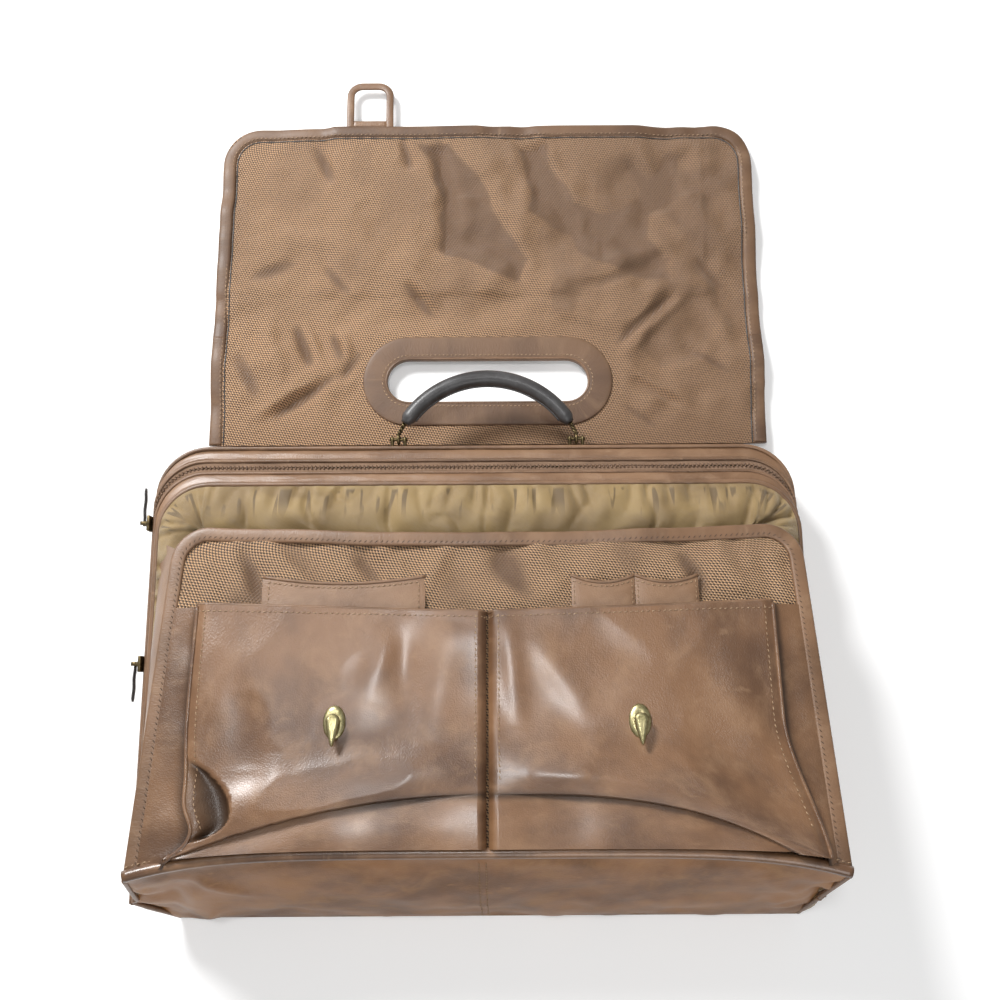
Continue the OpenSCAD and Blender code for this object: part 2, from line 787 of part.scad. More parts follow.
back_panel();
back_board();
bottom_rear();
bottom_board();
gusset_rear();
rim_strip_rear();
piping_rear();
zip_tape_rear();
handle_plate();
handle_anchors();
fold_strip();
bottom_front();
partition();
rim_strip_front();
piping_front();
zip_tape_front();
gusset_front_left();
gusset_front_right();
front_panel();
front_lining();
front_binding();
bottom_piping();
pocket_face(-1);  // pocket_face_left
pocket_face(1);  // pocket_face_right
pocket_gusset(-1);  // pocket_gusset_left
pocket_gusset(1);  // pocket_gusset_right
card_pocket_left();
card_pocket_right();
lock_base(-1);  // lock_base_left
lock_base(1);  // lock_base_right
lock_back(-1);  // lock_back_left
lock_back(1);  // lock_back_right
lock_lever(-1);  // lock_lever_left
lock_lever(1);  // lock_lever_right
flap_top_leather();
flap_top_lining();
slot_patch();
flap_top_binding();
flap_front_leather();
flap_front_lining();
flap_front_binding();
loop_left();
loop_right();
handle_grip();
handle_core();
handle_links();
slider(slider_upper_y);  // zip_slider_upper
slider(slider_upper_y - slider_spacing);  // zip_slider_lower
pull(slider_upper_y, 1);  // zip_pull_upper
pull(slider_upper_y - slider_spacing, -1);  // zip_pull_lower
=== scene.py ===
# %% [markdown]
# # A soft leather briefcase, lying open on its back
# The case lies on its back with the flap spread out above it, lining side up. The CAD model already holds
# every size and every joint. This script loads it as a fixed frame and dresses it: each soft piece is made
# again as cloth or leather, in metres, in the same place.

# %% Load the frame
from functools import partial
from math import atan2, cos, exp, hypot, pi, radians, sin

import bmesh
import bpy
from mathutils import Matrix, Vector, noise


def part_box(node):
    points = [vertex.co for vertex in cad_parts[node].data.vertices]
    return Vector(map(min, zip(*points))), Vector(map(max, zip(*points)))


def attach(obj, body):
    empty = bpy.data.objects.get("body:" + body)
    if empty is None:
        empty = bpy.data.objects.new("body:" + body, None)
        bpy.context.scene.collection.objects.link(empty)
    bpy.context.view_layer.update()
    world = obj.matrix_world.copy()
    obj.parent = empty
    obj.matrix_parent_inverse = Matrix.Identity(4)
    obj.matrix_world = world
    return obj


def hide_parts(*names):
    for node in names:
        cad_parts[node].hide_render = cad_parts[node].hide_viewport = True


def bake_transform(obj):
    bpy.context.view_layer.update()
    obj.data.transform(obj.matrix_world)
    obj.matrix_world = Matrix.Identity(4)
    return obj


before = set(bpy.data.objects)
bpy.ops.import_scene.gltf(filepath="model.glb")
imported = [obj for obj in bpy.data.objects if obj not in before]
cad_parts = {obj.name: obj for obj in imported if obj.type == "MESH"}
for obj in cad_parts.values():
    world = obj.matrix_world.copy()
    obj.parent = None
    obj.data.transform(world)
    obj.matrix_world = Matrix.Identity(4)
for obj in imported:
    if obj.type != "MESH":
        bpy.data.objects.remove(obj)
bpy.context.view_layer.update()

print("CAD nodes:", len(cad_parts))

# %% [markdown]
# ## Sizes
# The outlines are those of the CAD model: the back, the rear rim, the zip and the front rim. Each is
# written as left side, right side, top edge and corner radius. The front panel lies at a slant, so its
# pieces are placed by how far they lie across it, up it and out of it.

# %% Sizes, in metres
MM = 0.001
BACK = (-0.216, 0.216, 0.1695, 0.034)
REAR = (-0.235, 0.2179, 0.1575, 0.034)
ZIP = (-0.236, 0.218, 0.143, 0.034)
FRONT = (-0.230, 0.2174, 0.1285, 0.034)
REAR_Z, ZIP_Z, FRONT_Z = 0.044, 0.049, 0.054
BOTTOM_Y, BOTTOM_LEAN = -0.1695, 0.044
PANEL_Y, PANEL_Z, PANEL_TILT = -0.1255, 0.114, radians(7.76517)
PANEL_L, PANEL_HALF, PANEL_TOP_HALF, PANEL_R = 0.222, 0.219, 0.209, 0.026
FOLD_Y, EDGE_Y = 0.1741, 0.4371
FLAP_Z, FLAP_T, FLAP_HALF, FLAP_R = 0.0055, 0.003, 0.2145, 0.030
SLOT_X, SLOT_Y, SLOT_R = 0.0605, 0.2206, 0.0175
LOCK_X, LOCK_V = 0.095, 0.0912
LEATHER_T, NYLON_T = 0.0022, 0.0008
SIDES = ((-1, "left"), (1, "right"))
print("case %.0f mm wide, flap %.0f mm wide" % ((BACK[1] - BACK[0]) / MM, 2 * FLAP_HALF / MM))

# %% [markdown]
# ### Places on the case
# `on_panel` finds a point on the slanting front panel. `round_case` finds one on a line round the case: up
# the left side, over the top and down the right side, with the shares 0.27 to 0.32 and 0.68 to 0.73 for its
# two corners.

# %% Places on the case
LEFT_CORNER, RIGHT_CORNER = (0.27, 0.32), (0.68, 0.73)   # shares of the way round: start and end


def mix(a, b, k):
    return a + (b - a) * k


def mix_outline(a, b, k):
    return tuple(mix(p, q, k) for p, q in zip(a, b))


def bottom_y(z):
    """Where the leaning bottom of the case is at height z."""
    return BOTTOM_Y + BOTTOM_LEAN * z / PANEL_Z


def on_panel(x, v, w):
    """The point x across, v up and w out of the front panel."""
    return Vector((x, PANEL_Y + v * cos(PANEL_TILT) + w * sin(PANEL_TILT),
                   PANEL_Z - v * sin(PANEL_TILT) + w * cos(PANEL_TILT)))


def round_case(outline, t, z, out=0.0):
    """The point at share t of the way round an outline, out metres outside it and z above the floor."""
    left, right, top, r = outline
    left, right, top, r = left - out, right + out, top + out, max(r + out, 0.004)
    foot, side_top = bottom_y(z), top - r
    (a, b), (c, d) = LEFT_CORNER, RIGHT_CORNER
    if t < a:
        return Vector((left, mix(foot, side_top, t / a), z))
    if t < b:
        turn = pi - (t - a) / (b - a) * pi / 2
        return Vector((left + r + r * cos(turn), side_top + r * sin(turn), z))
    if t < c:
        return Vector((mix(left + r, right - r, (t - b) / (c - b)), top, z))
    if t < d:
        turn = (1 - (t - c) / (d - c)) * pi / 2
        return Vector((right - r + r * cos(turn), side_top + r * sin(turn), z))
    return Vector((right, mix(side_top, foot, (t - d) / (1 - d)), z))


def ease(a, b, x):
    """0 below a, 1 above b, and a smooth rise between them."""
    k = min(max((x - a) / (b - a), 0.0), 1.0)
    return k * k * (3 - 2 * k)


def spread(a, b, count):
    """Evenly spaced values from a to b."""
    return [mix(a, b, k / (count - 1)) for k in range(count)]


print("middle of the zip's top:", round_case(ZIP, 0.5, ZIP_Z))

# %% [markdown]
# ## Soft shapes
# Leather and nylon are never quite flat. `swell` is a slow random wave, and `crease` is one ridge or hollow
# from one point to another, drawn where the real case has one. Both give the same result each time.

# %% Waves and creases
def swell(x, y, size, seed=0.0):
    """A smooth random wave from about -1 to 1, with bumps about size metres apart."""
    return noise.noise(Vector((x / size, y / size, seed)), noise_basis="PERLIN_ORIGINAL")


def crease(x, y, x0, y0, x1, y1, width):
    """1 along the middle of a line, falling off over width to its sides and towards its ends."""
    dx, dy = x1 - x0, y1 - y0
    k = min(max(((x - x0) * dx + (y - y0) * dy) / (dx * dx + dy * dy), 0.0), 1.0)
    off = hypot(x - x0 - k * dx, y - y0 - k * dy) / width
    return exp(-off * off) * sin(pi * min(max(k, 0.02), 0.98)) ** 0.5 if off < 3 else 0.0


def creases(x, y, lines):
    """Lines are in millimetres: from, to, width and height."""
    return sum(crease(x, y, a * MM, b * MM, c * MM, d * MM, w * MM) * h * MM for a, b, c, d, w, h in lines)


# %% [markdown]
# ## Open skins
# Almost everything here is a grid whose points are moved onto a shape. An open one makes a panel, and a
# Solidify modifier gives it its thickness. It carries a UV map in metres, so that a weave follows the cloth
# when it bends, and each name starts the pattern at another place.

# %% Open skins
def new_piece(name, bm, *materials):
    mesh = bpy.data.meshes.new(name)
    bm.to_mesh(mesh)
    bm.free()
    for material in materials:
        mesh.materials.append(material)
    mesh.shade_smooth()
    piece = bpy.data.objects.new(name, mesh)
    bpy.context.collection.objects.link(piece)
    return piece


def grid_bmesh(name, across, along, size):
    """A flat grid that knows each point's column and row, with its UV map in metres."""
    bm = bmesh.new()
    bmesh.ops.create_grid(bm, x_segments=across, y_segments=along, size=0.5)
    cloth, seed = bm.loops.layers.uv.new("cloth"), len(name) * 0.113
    for face in bm.faces:
        for loop in face.loops:
            u, v = loop.vert.co.x + 0.5, loop.vert.co.y + 0.5
            loop[cloth].uv = (u * size[0] + seed, v * size[1] + seed * 0.37)
    return bm


def skin(name, across, along, size, shape, materials, thick=0.0, keep=None, flip=False, satin_and_shade=None):
    """An open sheet: shape(u, v) gives each point, with u and v from 0 to 1. keep(u, v) leaves out faces.
    satin(point, u, v) is stored as an attribute from 0 to 1, which materials read for flat-lying threads and
    for painted shade."""
    bm = grid_bmesh(name, across, along, size)
    if keep:
        middles = [(f, f.calc_center_median()) for f in bm.faces]
        gone = [f for f, c in middles if not keep(c.x + 0.5, c.y + 0.5)]
        bmesh.ops.delete(bm, geom=gone, context="FACES")
    layer = bm.verts.layers.float.new("satin_and_shade") if satin_and_shade else None
    for vert in bm.verts:
        u, v = vert.co.x + 0.5, vert.co.y + 0.5
        vert.co = shape(u, v)
        if satin_and_shade:
            vert[layer] = satin_and_shade(vert.co, u, v)
    if flip:
        bmesh.ops.reverse_faces(bm, faces=bm.faces)
    for edge in bm.edges:
        edge.smooth = not edge.is_boundary
    piece = new_piece(name, bm, *materials)
    if thick:
        wall = piece.modifiers.new("thickness", "SOLIDIFY")
        wall.thickness, wall.offset = thick, -1.0
        wall.material_offset = wall.material_offset_rim = len(materials) - 1
    return piece


# %% [markdown]
# ## Closed skins and straps
# The same grid closed round makes piping, straps, plates and rings. A strap follows a path, with half a
# width to each side and half a thickness up and down. `square` makes its section boxier, and `taper`
# changes it on the way.

# %% Closed skins and straps
def wrap(name, around, along, size, shape, materials, ring=False):
    """A skin closed round: shape(i, j) gives the point at column i of around and row j of along."""
    bm = grid_bmesh(name, around, along, size)
    for vert in bm.verts:
        i, j = round((vert.co.x + 0.5) * around), round((vert.co.y + 0.5) * along)
        vert.co = shape(i % around, j % along if ring else j)
    bmesh.ops.remove_doubles(bm, verts=bm.verts, dist=1e-6)
    if not ring:
        bmesh.ops.holes_fill(bm, edges=[e for e in bm.edges if e.is_boundary], sides=0)
    bmesh.ops.recalc_face_normals(bm, faces=bm.faces)
    return new_piece(name, bm, *materials)


def directions(path, up, closed):
    """At each point of a path: its tangent, the side across it and the way up."""
    found = []
    for k, p in enumerate(path):
        after = path[(k + 1) % len(path)] if closed else path[min(k + 1, len(path) - 1)]
        before = path[k - 1] if closed or k else p
        tangent = (after - before).normalized()
        side = tangent.cross(up).normalized()
        found.append((tangent, side, side.cross(tangent)))
    return found


def path_length(path, closed=False):
    runs = zip(path, path[1:] + (path[:1] if closed else []))
    return sum((b - a).length for a, b in runs)


def strap(name, path, half_w, half_t, materials, up=Vector((0, 0, 1)), sides=12, closed=False, square=1.0,
          taper=None):
    """A cord, welt or flat strap along a path: half_w to each side and half_t up and down."""
    frames = directions(path, up, closed)

    def shape(i, j):
        a = 2 * pi * i / sides
        c, s = cos(a), sin(a)
        c, s = abs(c) ** square * (1 if c > 0 else -1), abs(s) ** square * (1 if s > 0 else -1)
        _, side, rise = frames[j]
        k = taper(j / (len(path) - 1)) if taper else 1.0
        return path[j] + side * (c * half_w * k) + rise * (s * half_t * k)

    rows = len(path) if closed else len(path) - 1
    return wrap(name, sides, rows, (4 * (half_w + half_t) * 0.8, path_length(path, closed)), shape, materials,
                ring=closed)


def spaced(path, step, closed=False):
    """Points every step metres along a path, with their directions of travel."""
    points, left = [], step / 2
    ends = path[1:] + (path[:1] if closed else [])
    for a, b in zip(path, ends):
        run = (b - a).length
        while run > 1e-9 and left < run:
            points.append((a.lerp(b, left / run), (b - a).normalized()))
            left += step
        left -= run
    return points


# %% [markdown]
# ## Bodies
# The CAD model moves in bodies, such as the flap or a lever. Each finished piece rides on one, so that it
# follows the joints; a piece that spans two stays where it is. The CAD nodes that it stands for are hidden.

# %% Bodies
def settle(piece, body, slot, *nodes):
    """Puts a finished piece on its body, or leaves it where it is when it spans two, and hides the CAD nodes
    it stands for.
    """
    if nodes:
        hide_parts(*nodes)
    if isinstance(body, str):
        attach(piece, body)
    else:
        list(body)
        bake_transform(piece)
    print(piece.name, "on", body if isinstance(body, str) else body[:2], len(piece.data.vertices), "points")
    return piece


# %% [markdown]
# ## Materials
# Leather, woven nylon, plain nylon, brass and thread each get a procedural material. What several of them
# share, the grain of leather and the weave of ballistic nylon, is a node group with its own inputs. A group
# only puts out colours, masks, values and heights, and the shader stays in the material.

# %% Small helpers for node trees
def srgb(r, g, b):
    """A colour in steps from 0 to 255, as the linear values that a shader wants."""
    return tuple(c / 3294.6 if c <= 10 else ((c / 255 + 0.055) / 1.055) ** 2.4 for c in (r, g, b)) + (1.0,)


def feed(tree, node, inputs):
    """Gives a node its inputs, as values or as other nodes' outputs."""
    for key, value in dict(inputs).items():
        if isinstance(value, bpy.types.NodeSocket):
            tree.links.new(value, node.inputs[key])
        else:
            node.inputs[key].default_value = value


def add(tree, kind, inputs=(), **settings):
    """One node, with its settings and inputs."""
    node = tree.nodes.new("ShaderNode" + kind)
    for key, value in settings.items():
        setattr(node, key, value)
    feed(tree, node, inputs)
    return node


def maths(tree, operation, a, b=0.0, clamp=False):
    return add(tree, "Math", {0: a, 1: b}, operation=operation, use_clamp=clamp).outputs[0]


def times(tree, a, b):
    return maths(tree, "MULTIPLY", a, b)


def plus(tree, a, b, clamp=False):
    return maths(tree, "ADD", a, b, clamp)


def minus(tree, a, b, clamp=False):
    return maths(tree, "SUBTRACT", a, b, clamp)


def noise_at(tree, vector, scale, detail=3.0, rough=0.55, twist=0.0):
    return add(tree, "TexNoise", {"Vector": vector, "Scale": scale, "Detail": detail, "Roughness": rough,
                                  "Distortion": twist}).outputs["Fac"]


def blend_colours(tree, factor, a, b, way="MIX"):
    node = add(tree, "Mix", {0: factor, 6: a, 7: b}, data_type="RGBA", blend_type=way)
    return node.outputs[2]


def steps(tree, value, low, high, to_low=0.0, to_high=1.0):
    """Maps low..high smoothly onto to_low..to_high."""
    return add(tree, "MapRange", {"Value": value, "From Min": low, "From Max": high, "To Min": to_low,
                                  "To Max": to_high}, interpolation_type="SMOOTHSTEP").outputs["Result"]


def new_group(name, inputs, outputs):
    """An empty node group with named sockets, and its two end nodes."""
    tree = bpy.data.node_groups.new(name, "ShaderNodeTree")
    kinds = {"vector": "NodeSocketVector", "colour": "NodeSocketColor", "value": "NodeSocketFloat"}
    for label, kind in inputs:
        tree.interface.new_socket(name=label, in_out="INPUT", socket_type=kinds[kind])
    for label, kind in outputs:
        tree.interface.new_socket(name=label, in_out="OUTPUT", socket_type=kinds[kind])
    return tree, tree.nodes.new("NodeGroupInput").outputs, tree.nodes.new("NodeGroupOutput").inputs


# %% [markdown]
# ### Leather grain
# Old polished cowhide has slow changes of colour, paler scuffs, thin darker creases and very fine pores.
# The pores are under a millimetre, so they only tilt the light. The creases are where a noise crosses its
# middle value, which draws thin winding lines.

# %% Leather grain group
grain, grain_in, grain_out = new_group(
    "leather grain",
    [("Vector", "vector"), ("Base", "colour"), ("Dark", "colour"), ("Pale", "colour"), ("Wear", "value"),
     ("Gloss", "value")],
    [("Color", "colour"), ("Roughness", "value"), ("Height", "value")])
place = grain_in["Vector"]
slow = steps(grain, noise_at(grain, place, 13.0, 4.0, 0.6), 0.36, 0.66)
patchy = steps(grain, noise_at(grain, place, 42.0, 5.0, 0.65, 0.4), 0.45, 0.75)
winding = noise_at(grain, place, 75.0, 4.0, 0.6, 0.8)
line = steps(grain, maths(grain, "ABSOLUTE", minus(grain, winding, 0.5)), 0.0, 0.018, 1.0, 0.0)
line = times(grain, line, steps(grain, noise_at(grain, place, 21.0, 2.0), 0.50, 0.70))
pores = add(grain, "TexVoronoi", {"Vector": place, "Scale": 1100.0}).outputs["Distance"]
long_way = add(grain, "Mapping", {"Vector": place, "Rotation": (0, 0, 0.5), "Scale": (36, 90, 40)})
scuff = steps(grain, noise_at(grain, long_way.outputs[0], 1.0, 3.0, 0.7), 0.60, 0.74)
tone = blend_colours(grain, slow, grain_in["Base"], grain_in["Dark"])
tone = blend_colours(grain, times(grain, patchy, 0.38), tone, grain_in["Pale"])
tone = blend_colours(grain, times(grain, scuff, times(grain, grain_in["Wear"], 0.5)), tone, grain_in["Pale"])
tone = blend_colours(grain, times(grain, line, 0.14), tone, grain_in["Dark"], "MULTIPLY")
rough = plus(grain, grain_in["Gloss"], times(grain, patchy, 0.10))
height = plus(grain, times(grain, pores, 0.22), times(grain, line, -0.10))
grain.links.new(tone, grain_out["Color"])
grain.links.new(plus(grain, rough, times(grain, scuff, 0.10)), grain_out["Roughness"])
grain.links.new(plus(grain, height, times(grain, winding, 0.25)), grain_out["Height"])
print(grain.name, "has", len(grain.nodes), "nodes")

# %% [markdown]
# ### Basket weave
# The lining is ballistic nylon: pairs of threads pass over and under each other, so that the cloth shows a
# fine slanting check of pale and dark dots. Two sine waves across each other give both the check, from the
# sign of their product, and the round top of each thread.

# %% Basket weave group
weave, weave_in, weave_out = new_group("basket weave", [("Vector", "vector"), ("Pitch", "value")],
                                       [("Check", "value"), ("Height", "value")])
turned = add(weave, "VectorRotate", {"Vector": weave_in["Vector"], "Angle": radians(36)},
             rotation_type="Z_AXIS")
squeezed = add(weave, "Mapping", {"Vector": turned.outputs[0], "Scale": (0.66, 1.30, 1.0)})
axes = add(weave, "SeparateXYZ", {0: squeezed.outputs[0]}).outputs
phases = [maths(weave, "DIVIDE", times(weave, axes[k], pi), weave_in["Pitch"]) for k in (0, 1)]
product = times(weave, *[maths(weave, "SINE", phase) for phase in phases])
weave.links.new(steps(weave, product, -0.25, 0.25), weave_out["Check"])
weave.links.new(maths(weave, "POWER", maths(weave, "ABSOLUTE", product), 0.5), weave_out["Height"])
print(weave.name, "has", len(weave.nodes), "nodes")

# %% [markdown]
# ### Leather
# A finish is a function that places a group with its own colours. Cloth and leather read their piece's UV
# map, so that the pattern bends with them. A piece may also carry an attribute from 0 to 1, which paints
# shade into leather.

# %% Leather
def begin(name, on_cloth=True):
    """A material, its tree and shader, and the vector that its patterns read."""
    material = bpy.data.materials.new(name)
    material.use_nodes = True
    tree = material.node_tree
    tree.nodes.clear()
    shader = add(tree, "BsdfPrincipled")
    tree.links.new(shader.outputs[0], add(tree, "OutputMaterial").inputs[0])
    if on_cloth:
        return material, tree, shader, add(tree, "UVMap", uv_map="cloth").outputs[0]
    return material, tree, shader, add(tree, "TexCoord").outputs["Object"]


# reads the attribute that carries flat-lying threads and painted shade
def satin_and_shade_of(tree):
    return add(tree, "Attribute", attribute_name="satin_and_shade").outputs["Fac"]


def bump(tree, shader, height, depth, strength=1.0):
    node = add(tree, "Bump", {"Height": height, "Distance": depth, "Strength": strength})
    tree.links.new(node.outputs[0], shader.inputs["Normal"])


def leather(name, base, dark, pale, gloss, wear, coat, depth=0.0005, specular=0.5, painted_shade=False):
    """Grained leather. Its last option paints shade: the piece's attribute darkens it and takes off its coat,
    where shade falls in creases and hollows.
    """
    material, tree, shader, vector = begin(name)
    out = add(tree, "Group", {"Vector": vector, "Base": srgb(*base), "Dark": srgb(*dark), "Pale": srgb(*pale),
                              "Wear": wear, "Gloss": gloss}, node_tree=grain).outputs
    tone = out["Color"]
    if painted_shade:
        folded = satin_and_shade_of(tree)
        # painted shade: the attribute blends the leather towards a near-black brown and takes off its coat
        tone = blend_colours(tree, folded, tone, srgb(34, 24, 17))
        coat = times(tree, minus(tree, 1.0, folded, True), coat)
    feed(tree, shader, {"Base Color": tone, "Roughness": out["Roughness"], "Coat Weight": coat,
                        "Coat Roughness": 0.23, "Specular IOR Level": specular})
    bump(tree, shader, out["Height"], depth)
    return material


# %% [markdown]
# ### Woven nylon
# The weave is a check of two colours, made a little uneven. Where the attribute is high the threads lie flat,
# so the check fades into one shiny, darker colour; that darker colour is partly painted shade.

# %% Woven nylon
def woven(name, light, dark, satin_and_shade, pitch):
    """Ballistic nylon, with smooth areas where the threads lie so flat that the check fades, darkened partly
    as painted shade.
    """
    material, tree, shader, vector = begin(name)
    out = add(tree, "Group", {"Vector": vector, "Pitch": pitch}, node_tree=weave).outputs
    smooth = satin_and_shade_of(tree)
    uneven = times(tree, minus(tree, noise_at(tree, vector, 500.0, 2.0), 0.5), 0.5)
    check = times(tree, minus(tree, out["Check"], 0.5), minus(tree, 1.0, times(tree, smooth, 0.75)))
    check = plus(tree, plus(tree, check, 0.5), uneven, True)
    tone = blend_colours(tree, check, srgb(*dark), srgb(*light))
    # partly painted shade: the attribute blends the weave towards the darker colour
    tone = blend_colours(tree, times(tree, smooth, 0.80), tone, srgb(*satin_and_shade))
    feed(tree, shader, {"Base Color": tone, "Roughness": steps(tree, smooth, 0.0, 1.0, 0.44, 0.37),
                        "Sheen Weight": 0.15, "Sheen Roughness": 0.4})
    bump(tree, shader, out["Height"], 0.0005, 0.7)
    return material


# %% [markdown]
# ### Lining cloth and tape
# The compartments are lined with thinner cloth of the same yarn, whose weave hardly shows. Where it is
# gathered, dark strokes are painted shade in its folds. The zip's tape is ribbed.

# %% Lining cloth and tape
def plain_nylon(name, base, dark, pitch, gather_shade=False):
    """Thin plain lining cloth, with soft folds of shade, and painted shade as dark strokes where it is
    gathered.
    """
    material, tree, shader, vector = begin(name)
    out = add(tree, "Group", {"Vector": vector, "Pitch": pitch}, node_tree=weave).outputs
    slow = steps(tree, noise_at(tree, vector, 26.0, 3.0, 0.5, 0.8), 0.35, 0.68)
    tone = blend_colours(tree, slow, srgb(*base), srgb(*dark))
    tone = blend_colours(tree, times(tree, out["Check"], 0.25), tone, srgb(*dark), "MULTIPLY")
    # painted shade: dark leaning strokes in the gathered cloth's folds, masked by the piece's attribute
    if gather_shade:
        leaning = add(tree, "Mapping", {"Vector": vector, "Rotation": (0, 0, 0.45), "Scale": (150, 24, 1)})
        gather_shade_strokes = steps(tree, noise_at(tree, leaning.outputs[0], 1.0, 1.5, 0.5, 0.3), 0.57, 0.615)
        tone = blend_colours(tree, times(tree, gather_shade_strokes, satin_and_shade_of(tree)), tone, srgb(92, 72, 42))
    feed(tree, shader, {"Base Color": tone, "Roughness": 0.40, "Sheen Weight": 0.2})
    height = plus(tree, times(tree, out["Height"], 0.3), noise_at(tree, vector, 60.0, 2.0))
    bump(tree, shader, height, 0.0006, 0.8)
    return material


def ribbed_tape(name, base, dark):
    """Zip tape: close ribs along its length, and some dirt."""
    material, tree, shader, vector = begin(name)
    ribs = add(tree, "TexWave", {"Vector": vector, "Scale": 420.0, "Distortion": 0.6, "Detail": 1.0},
               bands_direction="X").outputs["Fac"]
    dirt = steps(tree, noise_at(tree, vector, 40.0, 4.0, 0.6), 0.4, 0.7)
    shade = plus(tree, times(tree, ribs, 0.5), times(tree, dirt, 0.5))
    tone = blend_colours(tree, shade, srgb(*base), srgb(*dark))
    feed(tree, shader, {"Base Color": tone, "Roughness": 0.62})
    bump(tree, shader, ribs, 0.0003)
    return material


# %% [markdown]
# ### Metal, thread and board
# Small and hard things need less: one colour that varies, some roughness that varies with it, and a fine
# bump. They read Object coordinates, because stitches and the CAD model's own nodes have no UV map.

# %% Metal, thread and board
def old_metal(name, base, tarnish, rough):
    """Brass or steel that has gone dull in patches, with fine rubbing marks."""
    material, tree, shader, vector = begin(name, on_cloth=False)
    dull = steps(tree, noise_at(tree, vector, 210.0, 5.0, 0.7, 0.5), 0.42, 0.66)
    marks = noise_at(tree, add(tree, "Mapping", {"Vector": vector, "Scale": (900, 120, 900)}).outputs[0], 1.0)
    worn = plus(tree, steps(tree, dull, 0.0, 1.0, rough, rough + 0.22), times(tree, marks, 0.08))
    tone = blend_colours(tree, dull, srgb(*base), srgb(*tarnish))
    feed(tree, shader, {"Base Color": tone, "Roughness": worn, "Metallic": 1.0})
    bump(tree, shader, marks, 0.00012, 0.6)
    return material


def plain(name, base, dark, rough, scale):
    """Thread, coil teeth, board: one colour that varies a little, with a fine tooth."""
    material, tree, shader, vector = begin(name, on_cloth=False)
    fleck = noise_at(tree, vector, scale, 3.0, 0.6)
    tone = blend_colours(tree, steps(tree, fleck, 0.35, 0.65), srgb(*base), srgb(*dark))
    feed(tree, shader, {"Base Color": tone, "Roughness": steps(tree, fleck, 0.3, 0.7, rough, rough + 0.12)})
    bump(tree, shader, fleck, 0.0002)
    return material


# %% [markdown]
# ### The finishes
# Colours are in steps from 0 to 255: the main one, a darker one and, for leather, a paler one. The leathers
# differ because the pockets were polished, the bottom and the edges were rubbed, and the linings faded.

# %% The finishes
# the pocket leather takes painted shade in its creases and hollows from its pieces' attribute
POCKET = leather("pocket leather", (124, 90, 62), (88, 61, 41), (152, 119, 88), 0.36, 0.6, 0.60, painted_shade=True)
BODY = leather("case leather", (134, 103, 77), (110, 81, 58), (156, 126, 99), 0.40, 0.7, 0.15)
TRIM = leather("edge leather", (126, 95, 70), (98, 72, 51), (152, 122, 94), 0.44, 0.9, 0.12)
SHADE = leather("bottom leather", (148, 103, 63), (106, 71, 42), (174, 133, 91), 0.42, 0.8, 0.06,
                specular=0.25)
EDGE = leather("flap edge leather", (112, 84, 61), (88, 64, 46), (140, 112, 86), 0.54, 0.9, 0.04)
GRIP = leather("grip leather", (66, 64, 64), (44, 42, 42), (96, 96, 97), 0.40, 0.4, 0.1, depth=0.0003)
LINING = woven("flap lining", (194, 153, 113), (64, 44, 30), (78, 54, 36), 0.00130)
PANEL_CLOTH = woven("panel weave", (188, 150, 112), (46, 32, 22), (82, 58, 41), 0.00138)
LINING_COLOURS = (156, 131, 86), (132, 108, 69)
GOLD = plain_nylon("gold lining", *LINING_COLOURS, 0.0006)
# the gathered lining carries painted shade in dark strokes along its folds
GATHERED = plain_nylon("gathered lining", *LINING_COLOURS, 0.0006, gather_shade=True)
TAPE = ribbed_tape("zip tape", (150, 120, 96), (112, 86, 66))
TEETH = plain("coil teeth", (122, 94, 72), (86, 64, 48), 0.35, 500.0)
BRONZE = old_metal("dark bronze", (112, 98, 70), (66, 56, 40), 0.36)
BRASS = old_metal("aged brass", (192, 182, 138), (128, 120, 84), 0.30)
STEEL = old_metal("steel", (150, 150, 150), (110, 108, 104), 0.35)
THREAD = plain("thread", (170, 142, 112), (118, 92, 68), 0.6, 900.0)
DARK_THREAD = plain("dark thread", (92, 70, 52), (70, 52, 38), 0.6, 900.0)
BOARD = plain("fibre board", (150, 134, 110), (120, 104, 82), 0.8, 300.0)
print("materials:", len(bpy.data.materials))

# %% [markdown]
# ## Stitches and trims
# Every bound edge and pocket is sewn, and the stitches catch the light. Each one is a tiny spindle with few
# faces, set a little slanted along the seam, and each seam is one mesh. Trims are straps with their finish.

# %% Stitches and trims
STITCH_HEIGHT = 0.00036


def stitches(name, path, body, closed=False, up=Vector((0, 0, 1)), step=0.0036, length=0.0026, slant=0.25,
             lift=0.0, thick=0.00042, material=THREAD):
    """A seam: one stitch every step metres along a path."""
    bm = bmesh.new()
    for point, way in spaced(path, step, closed):
        side = way.cross(up).normalized()
        rise = side.cross(way)
        turn = Matrix((side, way, rise)).transposed().to_4x4() @ Matrix.Rotation(slant, 4, "Z")
        spindle = Matrix.Diagonal((thick, length / 2, STITCH_HEIGHT, 1))
        place = Matrix.Translation(point + rise * lift) @ turn @ spindle
        bmesh.ops.create_uvsphere(bm, u_segments=6, v_segments=4, radius=1.0, matrix=place)
    return settle(new_piece(name, bm, material), body, "leather_trim")


def trim(name, path, half_w, half_t, body, *nodes, of=TRIM, slot="leather_trim", **how):
    """A strap with its finish, on its body."""
    return settle(strap(name, path, half_w, half_t, [of], **how), body, slot, *nodes)


bronze = partial(trim, of=BRONZE, slot="brass")
